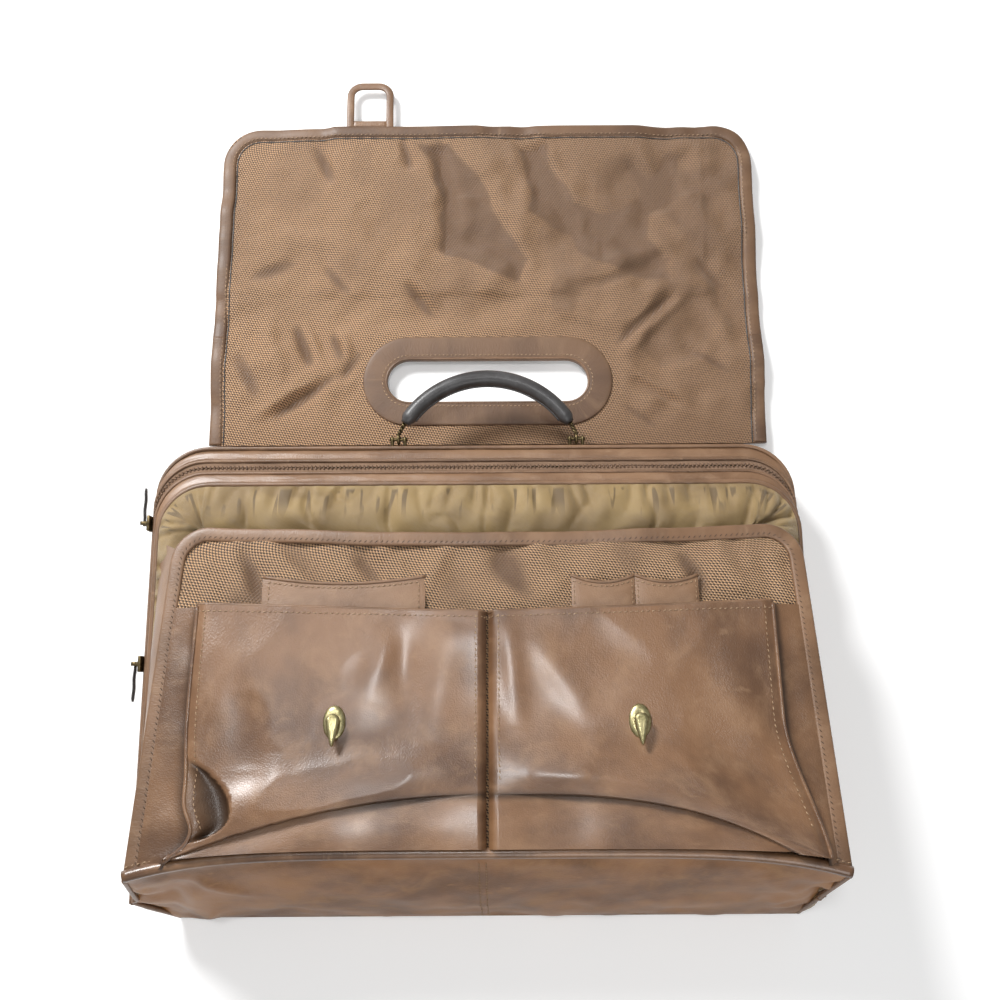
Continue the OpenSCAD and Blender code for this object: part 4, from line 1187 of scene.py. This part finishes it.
def panel_wave(x, v):
    free = ease(0.15, 0.18, v)
    cloth = 0.0040 * swell(x, v, 0.036, 4.0) + 0.0014 * swell(x, v, 0.014, 5.0) + creases(x, v, PANEL_LINES)
    wave = cloth * free * (1 - ease(0.208, 0.220, v)) + 0.0030 * ease(0.185, 0.222, v) * swell(x, 1.2, 0.07)
    return min(max(wave, -0.0050), 0.0024)


def panel_point(u, v):
    x0 = (2 * u - 1)
    along = mix(front_rise(x0 * PANEL_HALF) * 0.9 + 0.001, PANEL_L - 0.003, v)
    half = panel_half(along) - 0.003
    past = along - (PANEL_L - PANEL_R)
    if past > 0:
        half -= PANEL_R - max(PANEL_R ** 2 - min(past, PANEL_R) ** 2, 0) ** 0.5
    x = x0 * half
    up_v = along - panel_dip(x) * ease(0.12, 0.222, along)
    return on_panel(x, up_v, panel_wave(x, up_v) - 0.0002)


def panel_fold_shade(p, u, v):
    """Painted shade: the cloth is darkened, and its check faded, in the valleys of the folds."""
    folds = -creases(p.x, v * PANEL_L, PANEL_LINES) - 0.003 * swell(p.x, p.y, 0.036, 4.0)
    return 0.04 + 0.86 * ease(0.0, 0.0028, folds)


# the attribute paints shade into the weave along its folds
panel = skin("panel_weave", 210, 110, (0.43, 0.222), panel_point, [PANEL_CLOTH, GOLD], thick=0.0028,
             satin_and_shade=panel_fold_shade)
settle(panel, "front_flap_panel", "woven_nylon", "front_panel", "front_lining")


# %% [markdown]
# ### Binding and piping of the panel
# The binding follows the panel's sagging edge, sewn with slanting dark thread. The bottom piping is a thick
# roll of the pockets' leather.

# %% Binding and piping of the panel
def panel_rim(inset, w):
    """Up the left edge of the panel, round its corners, along its sagging top and down the right edge."""
    corner_v = PANEL_L - PANEL_R
    corner_x = panel_half(corner_v) - PANEL_R
    left = [(-(panel_half(v) - inset), v) for v in spread(0.004, corner_v, 51)]
    top = [(x, PANEL_L - inset) for x in spread(-corner_x, corner_x, 91)]
    flat = over_the_top(left, corner_x, corner_v, PANEL_R - inset, top)
    return [on_panel(x, v - panel_dip(x) * ease(0.12, 0.222, v), w + panel_wave(x, PANEL_L)) for x, v in flat]


PANEL = "front_flap_panel"
PANEL_UP = Vector((0, sin(PANEL_TILT), cos(PANEL_TILT)))
panel_trim, panel_stitches = partial(trim, up=PANEL_UP), partial(stitches, body=PANEL, up=PANEL_UP)
panel_trim("panel_binding", panel_rim(0.0044, -0.0003), 0.0048, 0.0020, PANEL, "front_binding", sides=16,
           square=0.5)
panel_stitches("panel_stitches", panel_rim(0.0066, 0.0016), length=0.0028, slant=0.75, thick=0.00038,
               material=DARK_THREAD)
foot_line = [on_panel(x, front_rise(x) + 0.0018, 0.0014) for x in spread(-0.2185, 0.2185, 161)]
panel_trim("bottom_piping_welt", foot_line, 0.0036, 0.0032, PANEL, "bottom_piping", of=POCKET, sides=16)
panel_stitches("bottom_piping_stitches", [p + Vector((0, 0.0052, 0.0006)) for p in foot_line])

# %% [markdown]
# ## The pockets
# Each pocket is a glossy leather face that bellies out low down and tucks under in a long arched crease, as a
# full pocket does when the case lies flat. Below the crease a flatter band runs down to the piping. The gloss
# shows every dent, so the shape is made by a formula and not by hand. First come the lines that it hangs on:
# the crease, the outer edge, and the left pocket's lower corner, which has fallen in.

# %% Lines of the pockets
POCKET_LINES = {
    -1: [(78, 106, 52, 162, 9, 1.1), (38, 78, 22, 156, 13, 1.3), (60, 166, 46, 84, 9, -1.0),
         (90, 52, 52, 62, 7, 0.9), (127, 40, 129, 74, 9, 0.9), (150, 112, 150, 62, 12, -1.4),
         (172, 160, 172, 90, 10, 0.8)],
    1: [(12, 158, 20, 88, 7, 1.1), (30, 148, 66, 88, 10, 1.0), (60, 150, 104, 124, 14, -0.9),
        (150, 150, 162, 90, 14, 1.2), (120, 90, 160, 70, 12, -1.1), (24, 58, 64, 56, 7, 1.0),
        (176, 120, 182, 60, 8, -1.2)]}


HALF_GAP, CREASE_V, MOUTH_V = 0.0007, 0.0475, 0.1675


def crease_height(side, x):
    """Where the arched crease crosses the pocket, up the panel."""
    return CREASE_V - x * x if side < 0 else CREASE_V - 0.031 * (x / 0.177) ** 3


def pocket_edge(side, v):
    """Distance of the face's outer edge from the middle: an S on the left, a flare on the right."""
    if side < 0:
        waist = 0.0025 * exp(-((v - 0.055) / 0.022) ** 2) + 0.0085 * exp(-((v - 0.027) / 0.012) ** 2)
        return 0.1875 - waist + 0.0090 * (1 - ease(0.006, 0.020, v))
    return 0.1850 + 0.0205 * (1 - ease(0.0, 0.095, v))


def corner(x, v):
    """The left pocket's lower outer corner falls in. Gives how far across the valley a point is, from its
    steep inner wall to the piped edge, and how much valley there is at this height."""
    k = min(max((0.072 - v) / 0.052, 0.0), 1.0)
    width = 0.028 * sin(pi * k ** 1.25) ** 0.8
    across = (x - pocket_edge(-1, v) + width) / max(width - 0.001, 0.001)
    return min(max(across, 0.0), 1.0), ease(0.0, 0.012, width)


print("crease at the middle:", crease_height(1, 0.0), "m, at the right edge:", crease_height(1, 0.177), "m")

# %% [markdown]
# ### Shape of the pockets
# `pocket_w` is how far the leather stands out of the panel. It adds up the belly above the crease, the
# flatter band below it, waves and dents, and takes off what the lock, the edges and the fallen corner need.
# The crease and the corner get painted shade through an attribute.

# %% Shape of the pockets
def fullness(x):
    """How much the pocket bellies at x: all in its middle, and less towards both its ends."""
    return ease(0.0, 0.06, x) * (0.55 + 0.45 * (1 - ease(0.13, 0.185, x)))


def pocket_w(side, x, v):
    """How far the pocket's face stands out of the panel, at x from the middle and v up."""
    fold_v = crease_height(side, x)
    above = ease(-0.0008, 0.0008, v - fold_v)
    deep = fullness(x)
    belly = 0.0044 * exp(-((v - fold_v - 0.013) / 0.018) ** 2) * deep
    low = 0.0052 + 0.0020 * sin(pi * min(max(v / max(fold_v, 0.012), 0), 1)) ** 0.7 + 0.0030 * (1 - deep)
    w = mix(low, 0.0083 + belly, above)
    calm = ease(0.010, 0.034, hypot(x - LOCK_X, v - LOCK_V))
    w += calm * (0.0026 * swell(side * x, v, 0.075, 7.0) + 0.0005 * swell(side * x, v, 0.028, 3.0))
    w += calm * above * creases(x, v, POCKET_LINES[side])
    near_lock = (1 - ease(0.020, 0.060, abs(x - LOCK_X))) * ease(0.030, 0.062, v)
    w = min(w, mix(0.0135, 0.0093, ease(0.052, 0.090, v)) - 0.0009 * near_lock)
    inner, outer = ease(HALF_GAP, 0.0042, x), 1 - 0.25 * ease(-0.006, 0.0, x - pocket_edge(side, v))
    w = max(w * (0.35 + 0.65 * inner) * outer, 0.0022)
    if side > 0:
        return w
    across, valley = corner(x, v)
    return mix(w, 0.0014, sin(pi * across ** 0.55) * valley)


def pocket_painted_shade(side, p):
    """Painted shade: darkens the crease near the middle of the case and the left pocket's fallen corner,
    where shade falls.
    """
    v = (p.y - PANEL_Y) * cos(PANEL_TILT) - (p.z - PANEL_Z) * sin(PANEL_TILT)
    x = abs(p.x)
    # painted shade along the crease, fading away from the middle of the case
    line = 0.62 * exp(-((v - crease_height(side, x) + 0.0002) / 0.0026) ** 2) * (1 - ease(0.03, 0.15, x))
    if side > 0:
        return line
    across, valley = corner(x, v)
    # painted shade in the fallen corner's hollow, lighter near the piped edge
    shade = ease(0.0, 0.08, across) * (1 - 0.55 * ease(0.40, 0.95, across)) * valley
    return max(line, 0.85 * shade)


def tuck(side, x, v):
    """Just below the crease the leather goes up under the belly."""
    fold_v = crease_height(side, x)
    return 0.0034 * fullness(x) * exp(-(fold_v - v) / 0.005) if v < fold_v else 0.0


def pocket_point(side, a, b):
    """a runs from the middle outwards and b from the foot to the mouth. The rows gather along the crease."""
    top = MOUTH_V - 0.0062 * (1 - a) ** 1.5 - 0.0012 * sin(pi * a)
    x = mix(HALF_GAP, 0.190, a)
    foot = front_rise(x) + 0.0035
    fold = max(crease_height(side, x), foot + 0.0015)
    v = mix(foot, fold, 1 - (1 - b / 0.3) ** 1.5) if b < 0.3 else mix(fold, top, ((b - 0.3) / 0.7) ** 1.35)
    x = mix(HALF_GAP, pocket_edge(side, v), a)
    return on_panel(side * x, v + tuck(side, x, v), pocket_w(side, x, v))


print("the belly stands", round(pocket_w(1, 0.08, 0.06) / MM, 1), "mm out of the panel")

# %% [markdown]
# ### Making the pockets
# Each pocket is a face, a strip down to the panel at its outer side, piping on that edge, a lip along its
# mouth and three seams.

# %% Pockets
for side, word in SIDES:
    def face(a, b, side=side):
        return pocket_point(side, a, b)

    def edge_at(v, side=side):
        """Where the outer edge is at v, and how far it stands out of the panel."""
        x = pocket_edge(side, v)
        return x, pocket_w(side, x, v)

    def side_strip(a, b, side=side):
        v = mix(0.006, 0.166, b)
        edge_x, edge_w = edge_at(v)
        x = mix(edge_x - 0.001, panel_half(v) - 0.0078, a)
        dip = -0.0030 * sin(pi * a) + 0.0010 * swell(a * 0.02, b * 0.16, 0.02, 5.0)
        return on_panel(side * x, v, max(mix(edge_w - 0.0012, 0.0016, a ** 1.5) + dip * (1 - a), 0.0012))

    # the pocket face carries painted shade in its crease and fallen corner
    pocket = skin("pocket_leather_" + word, 96, 130, (0.187, 0.170), face, [POCKET], thick=0.0018,
                  flip=side < 0, satin_and_shade=lambda p, u, v, side=side: pocket_painted_shade(side, p))
    settle(pocket, PANEL, "leather", "pocket_face_" + word)
    # painted shade: the side strip darkens towards the pocket's edge, where it dips into a groove, and a
    # little all over
    strip = skin("pocket_side_" + word, 14, 60, (0.02, 0.16), side_strip, [POCKET], thick=NYLON_T,
                 flip=side < 0, satin_and_shade=lambda p, u, v: 0.12 + 0.70 * (1 - ease(0.0, 0.40, u)))
    settle(strip, PANEL, "leather", "pocket_gusset_" + word)
    rim_path = [on_panel(side * x, v, w - 0.0004) for v in spread(0.010, 0.166, 61) for x, w in [edge_at(v)]]
    panel_trim("pocket_piping_" + word, rim_path, 0.0014, 0.0014, PANEL, of=POCKET, slot="leather", sides=8)
    mouth = [face(k, 1.0) + PANEL_UP * -0.0011 for k in spread(0, 1, 81)]
    panel_trim("pocket_lip_" + word, mouth, 0.0012, 0.0013, PANEL, sides=8)
    for seam, line in (("mouth", [face(k, 0.984) for k in spread(0, 1, 121)]),
                       ("outer", [face(0.968, b) for b in spread(0.42, 0.99, 81)]),
                       ("inner", [face(0.036, b) for b in spread(0.40, 0.99, 81)])):
        panel_stitches("pocket_stitches_%s_%s" % (seam, word), line, lift=0.0001)

# %% [markdown]
# ### Card pockets
# Three flat leather pockets are sewn to the woven panel behind the big ones, and only their hollowed tops
# show.

# %% Card pockets
def card_pocket(name, middle, width, *nodes):
    def shape(a, b):
        x = mix(middle - width / 2, middle + width / 2, a)
        top = 0.1865 - 0.005 * (1 - (2 * (x - middle) / width) ** 2)
        v = mix(0.140, top, b)
        return on_panel(x, v, 0.0030 + 0.0004 * swell(x, v, 0.02) - 0.0012 * abs(2 * a - 1) ** 6)
    plate = skin(name, 30, 18, (width, 0.05), shape, [BODY], thick=0.0011)
    settle(plate, PANEL, "leather", *nodes)
    panel_trim(name + "_edge", [shape(a, 1.0) for a in spread(0, 1, 41)], 0.0011, 0.0009, PANEL, sides=8)
    line = [shape(0.04, b) for b in spread(0.5, 0.93, 11)] + [shape(a, 0.93) for a in spread(0.04, 0.96, 31)]
    line += [shape(0.96, b) for b in spread(0.93, 0.5, 11)]
    panel_stitches(name + "_stitches", line, lift=0.0002)


PEN_WIDE, PEN_MIDDLE = 0.0415, 0.097
card_pocket("card_pocket_wide", -0.094, 0.107, "card_pocket_left")
card_pocket("pen_pocket_inner", PEN_MIDDLE - 0.0209, PEN_WIDE, "card_pocket_right")
card_pocket("pen_pocket_outer", PEN_MIDDLE + 0.0209, PEN_WIDE)

# %% [markdown]
# ## Turn locks
# An oval brass base is riveted to each pocket, and a drop-shaped lever turns on it. Open, the lever lies
# across the loop's slot. Base and lever are rings of one outline, each set higher and further in than the
# last, so that the edges come out round.

# %% Locks
def ringed(name, outline, rings, place, count=40):
    """Stacked rings of brass: each is the outline moved in by inset and set at height w."""
    rims = [[place(*outline(2 * pi * i / count, inset), w) for i in range(count)] for inset, w in rings]
    return wrap(name, count, len(rings) - 1, (0.06, 0.01), lambda i, j: rims[j][i], [BRASS])


def oval(a, inset, half_w=0.0070, half_l=0.0105):
    return (half_w - inset) * cos(a), (half_l - inset) * sin(a)


def drop(a, inset, head=0.0044, reach=0.0153, tip=0.0026):
    """A drop: round at its head, narrower at its tip."""
    y = sin(a)
    k = ease(-1.0, 0.2, y)
    return (mix(tip, head, k) - inset) * cos(a), (y * (head - inset) if y > 0 else y * (reach - inset))


BASE_RINGS = [(0.0, 0.0080), (0.0, 0.0094), (0.0007, 0.0102), (0.0020, 0.0106), (0.0032, 0.0109),
              (0.0046, 0.0106)]
LEVER_RINGS = [(0.0008, 0.0146), (0.0, 0.0152), (0.0, 0.0163), (0.0006, 0.0171), (0.0018, 0.0176),
               (0.0022, 0.0176)]
for side, word in SIDES:
    def on_lock(x, v, w, side=side):
        return on_panel(side * LOCK_X + x, LOCK_V + v, w)
    base = ringed("lock_plate_" + word, oval, BASE_RINGS, on_lock)
    settle(base, PANEL, "brass", "lock_base_" + word)
    lever = ringed("lock_turn_" + word, drop, LEVER_RINGS, on_lock)
    settle(lever, "lever_" + word, "brass", "lock_lever_" + word)
    post = ringed("lock_post_" + word, lambda a, i: (0.0020 * cos(a), 0.0020 * sin(a)),
                  [(0, 0.0065), (0, 0.0100), (0, 0.0149)], on_lock, 20)
    settle(post, "lever_" + word, "brass")

# %% [markdown]
# ## The handle
# A rolled leather grip arches out of the case's top wall. It is thickest in the middle, thins a little to
# its ends, and has its seam along the inside. Brass links join it to two anchors on the wall, and it swings
# on their pins.

# %% Grip
pin = Vector((0.0645, 0.16534, 0.04213))
GRIP_R, GRIP_SWEEP, GRIP_TOP = 0.06994, radians(118.155), 0.046
grip_middle = Vector((0, pin.y + GRIP_TOP - GRIP_R, pin.z))


def arch(r, a):
    return grip_middle + r * Vector((cos(a), sin(a), 0))


def grip_width(k):
    """Full in the middle, thinner near the ends, and rounded off at them."""
    end = min(k, 1 - k)
    full = (0.90 + 0.10 * sin(pi * k)) * (0.62 + 0.38 * ease(0.0, 0.035, end))
    return full + 0.010 * (ease(0.035, 0.045, end) - ease(0.045, 0.060, end))


grip_path = [arch(GRIP_R, a) for a in spread(pi / 2 - GRIP_SWEEP / 2, pi / 2 + GRIP_SWEEP / 2, 81)]
trim("grip_leather", grip_path, 0.0060, 0.0060, "handle", "handle_grip", of=GRIP, slot="grip_leather",
     sides=32, taper=grip_width)
seam_path = [arch(GRIP_R - 0.0054 - 0.0004 * sin(pi * k), pi / 2 + GRIP_SWEEP * mix(-0.46, 0.46, k))
             for k in spread(0, 1, 61)]
trim("grip_seam", seam_path, 0.0010, 0.0008, "handle", of=GRIP, slot="grip_leather", sides=8)

# %% [markdown]
# ### Anchors
# Each anchor is a plate on the leaning wall, with two lugs that hold a pin. They stay on the rear shell, so
# they are straps laid on the wall's own directions, out of it and up it.

# %% Anchors
def eye_of(side):
    return Vector((side * pin.x, pin.y, pin.z))


lean = atan2(0.012, 0.041)
wall_out, wall_up = Vector((0, cos(lean), sin(lean))), Vector((0, -sin(lean), cos(lean)))
for side, word in SIDES:
    foot = eye_of(side) - wall_out * 0.0066
    plate_path = [foot + wall_up * (0.0022 - 0.0155 * k / 8) for k in range(9)]
    bronze("anchor_plate_" + word, plate_path, 0.0062, 0.0007, "rear_case",
           *(["handle_anchors"] if side < 0 else []), up=wall_out, sides=16, square=0.4)
    for x in (-0.0046, 0.0046):
        lug_path = [foot + Vector((x, 0, 0)) + wall_out * 0.0088 * k / 6 for k in range(7)]
        bronze("anchor_lug_%s_%d" % (word, x > 0), lug_path, 0.0013, 0.0023, "rear_case", up=wall_up,
               sides=14, square=0.8, taper=lambda k: 1.0 - 0.45 * ease(0.75, 1.0, k))
    pin_path = [eye_of(side) + Vector((x, 0, 0)) for x in spread(-0.0064, 0.0064, 5)]
    bronze("anchor_pin_" + word, pin_path, 0.0014, 0.0014, "rear_case")

# %% [markdown]
# ### Links
# Each link is an eye round the pin and two twisted wires that run into the grip. They belong to the handle
# and turn with it.

# %% Links
for side, word in SIDES:
    ring = [eye_of(side) + 0.0030 * Vector((0, cos(a), sin(a))) for a in (2 * pi * k / 28 for k in range(28))]
    bronze("link_eye_" + word, ring, 0.0014, 0.0011, "handle", *(["handle_links"] if side < 0 else []),
           up=Vector((1, 0, 0)), sides=10, closed=True)
    start = eye_of(side) + Vector((0, 0.0036, 0))
    end = Vector((side * 0.0604, pin.y + 0.0122, pin.z))
    for number, strand in ((0, 0), (1, pi)):
        twist = []
        for k in range(25):
            a = strand + 3.2 * pi * k / 24
            twist.append(start.lerp(end, k / 24) + 0.0009 * Vector((cos(a), 0, sin(a))))
        bronze("link_wire_%s_%d" % (word, number), twist, 0.0009, 0.0009, "handle", sides=8)

# %% [markdown]
# ## Zip sliders
# Two sliders run on the left side of the zip. Each has a flat body with rounded edges, a raised bridge and
# a slim dark pull on a pin.

# %% Sliders
def slider_body(name, body, node):
    """A rounded block over the teeth with a bridge on its outer face, and two ears for the pull's pin."""
    low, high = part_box(node)
    face_x, y = high.x, (low.y + high.y) / 2
    bm = bmesh.new()
    blocks = (face_x, 0.0022, 0.0110, 0.0090), (face_x - 0.0016, 0.0014, 0.0032, 0.0068)
    for x, depth, width, height in blocks:
        place = Matrix.Translation((x - depth / 2, y, ZIP_Z)) @ Matrix.Diagonal((depth, width, height, 1))
        bmesh.ops.create_cube(bm, size=1.0, matrix=place)
    bmesh.ops.bevel(bm, geom=bm.edges[:], offset=0.0006, segments=3, profile=0.5, affect="EDGES", material=-1)
    settle(new_piece(name, bm, BRONZE), body, "brass", node)
    ear_x, reach = face_x - 0.0015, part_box("zip_pull_upper")[1].x - 0.0018 - 0.0012 - face_x
    for word, z in (("low", -0.0029), ("high", 0.0029)):
        ear_path = [Vector((ear_x + reach * k / 4, y, ZIP_Z + z)) for k in range(5)]
        bronze("%s_ear_%s" % (name, word), ear_path, 0.0014, 0.0006, body, sides=10, square=0.7)


for word in ("upper", "lower"):
    slider_body("slider_%s_body" % word, "slider_" + word, "zip_slider_" + word)

# %% [markdown]
# ### Pulls
# Each pull is a slim strap with a round eye on the slider's pin. The upper one points up the side of the
# case and the lower one down.

# %% Pulls
PULL_REACH = 0.0255
for word, tip in (("upper", 1), ("lower", -1)):
    low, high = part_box("zip_pull_" + word)
    eye_y = low.y + 0.0018 if tip > 0 else high.y - 0.0018
    bends = [0.0009] + [0.0002 * sin(k) for k in range(1, 13)]
    path = [Vector((low.x + 0.0008 + bend, eye_y + tip * PULL_REACH * k / 12, ZIP_Z))
            for k, bend in enumerate(bends)]
    trim("pull_%s_strap" % word, path, 0.0021, 0.0008, "pull_" + word, "zip_pull_" + word, of=GRIP,
         slot="pull_leather", up=Vector((-1, 0, 0)), square=0.6,
         taper=lambda k: 1.0 - 0.35 * ease(0.9, 1.0, k) - 0.1 * (1 - ease(0.0, 0.3, k)))
    collar = (-0.0019, -0.0010, 0.0, 0.0010, 0.0019)
    collar_path = [Vector((high.x - 0.0018, eye_y, ZIP_Z + z)) for z in collar]
    bronze("pull_%s_eye" % word, collar_path, 0.0016, 0.0016, "pull_" + word, up=Vector((1, 0, 0)), sides=14)

# %% [markdown]
# ## What stays of the CAD model
# The stiffening boards, the steel bar, the grip's core and the locks' backing plates keep their own shapes,
# because they are plain and hidden. They only need a finish.

# %% Finishes for carried-over nodes
KEPT = {"back_board": BOARD, "bottom_board": BOARD, "handle_plate": STEEL, "handle_core": STEEL,
        "lock_back_left": BRASS, "lock_back_right": BRASS}
for node, material in KEPT.items():
    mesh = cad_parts[node].data
    mesh.materials.clear()
    mesh.materials.append(material)
shown = [n for n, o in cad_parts.items() if not o.hide_render]
print("CAD nodes that still show:", sorted(shown))

# %% [markdown]
# ## Floor, light and camera
# The floor is plain and pale and lies just under the case. It glows a little to the camera only, so that it
# stays nearly white without lighting the leather.

# %% Floor
bm = bmesh.new()
bmesh.ops.create_grid(bm, x_segments=1, y_segments=1, size=4.0)
for vert in bm.verts:
    vert.co.z = -0.0003
white = bpy.data.materials.new("paper floor")
white.use_nodes = True
tree = white.node_tree
tree.nodes.clear()
cloudy = noise_at(tree, add(tree, "TexCoord").outputs["Object"], 3.0)
paper = blend_colours(tree, cloudy, (0.90, 0.90, 0.90, 1), (0.92, 0.92, 0.92, 1))
diffuse = add(tree, "BsdfDiffuse", {"Color": paper})
ray = add(tree, "LightPath").outputs["Is Camera Ray"]
glow = add(tree, "Emission", {"Color": (1, 1, 1, 1), "Strength": times(tree, ray, 0.16)})
both = add(tree, "AddShader", {0: diffuse.outputs[0], 1: glow.outputs[0]})
tree.links.new(both.outputs[0], add(tree, "OutputMaterial").inputs[0])
ground = new_piece("ground", bm, white)
print("floor:", ground.name, "of", white.name)

# %% [markdown]
# ### Light
# A broad lamp above and to the left draws the long shine on the pockets, a small one overhead makes the
# gloss on their bellies, and a weak one in front fills the shadows. The sky gives the rest.

# %% Lights
def lamp(name, place, target, size, power):
    data = bpy.data.lights.new(name, "AREA")
    data.shape, data.size, data.energy = "DISK", size, power
    light = bpy.data.objects.new(name, data)
    light.location = place
    light.rotation_euler = (Vector(target) - Vector(place)).to_track_quat("-Z", "Y").to_euler()
    bpy.context.collection.objects.link(light)


world = bpy.data.worlds.new("soft sky")
bpy.context.scene.world = world
world.use_nodes = True
sky = world.node_tree.nodes["Background"]
sky.inputs[0].default_value = (1.0, 1.0, 1.0, 1)
sky.inputs[1].default_value = 0.30
lamp("key", (-0.95, 1.25, 1.25), (0, 0.05, 0), 0.55, 46)
lamp("gloss", (-0.11, 0.29, 1.55), (0, 0, 0), 0.20, 4.4)
lamp("fill", (0.3, -0.9, 1.3), (0, 0, 0), 0.9, 7)

# %% [markdown]
# ### Camera
# It stands where the photograph was taken, 0.75 m above the floor, and looks down and slightly along the
# case.

# %% Camera
camera_data = bpy.data.cameras.new("camera")
camera_data.lens, camera_data.sensor_width = 36.0, 36.0
camera_data.clip_start, camera_data.clip_end = 0.05, 20.0
camera = bpy.data.objects.new("camera", camera_data)
camera.location = (0.008, -0.0207, 0.7465)
camera.rotation_euler = (radians(11.3), 0, radians(-0.35))
bpy.context.collection.objects.link(camera)
bpy.context.scene.camera = camera
bpy.context.scene.view_settings.view_transform = "Standard"
print("camera at", tuple(round(c, 4) for c in camera.location))
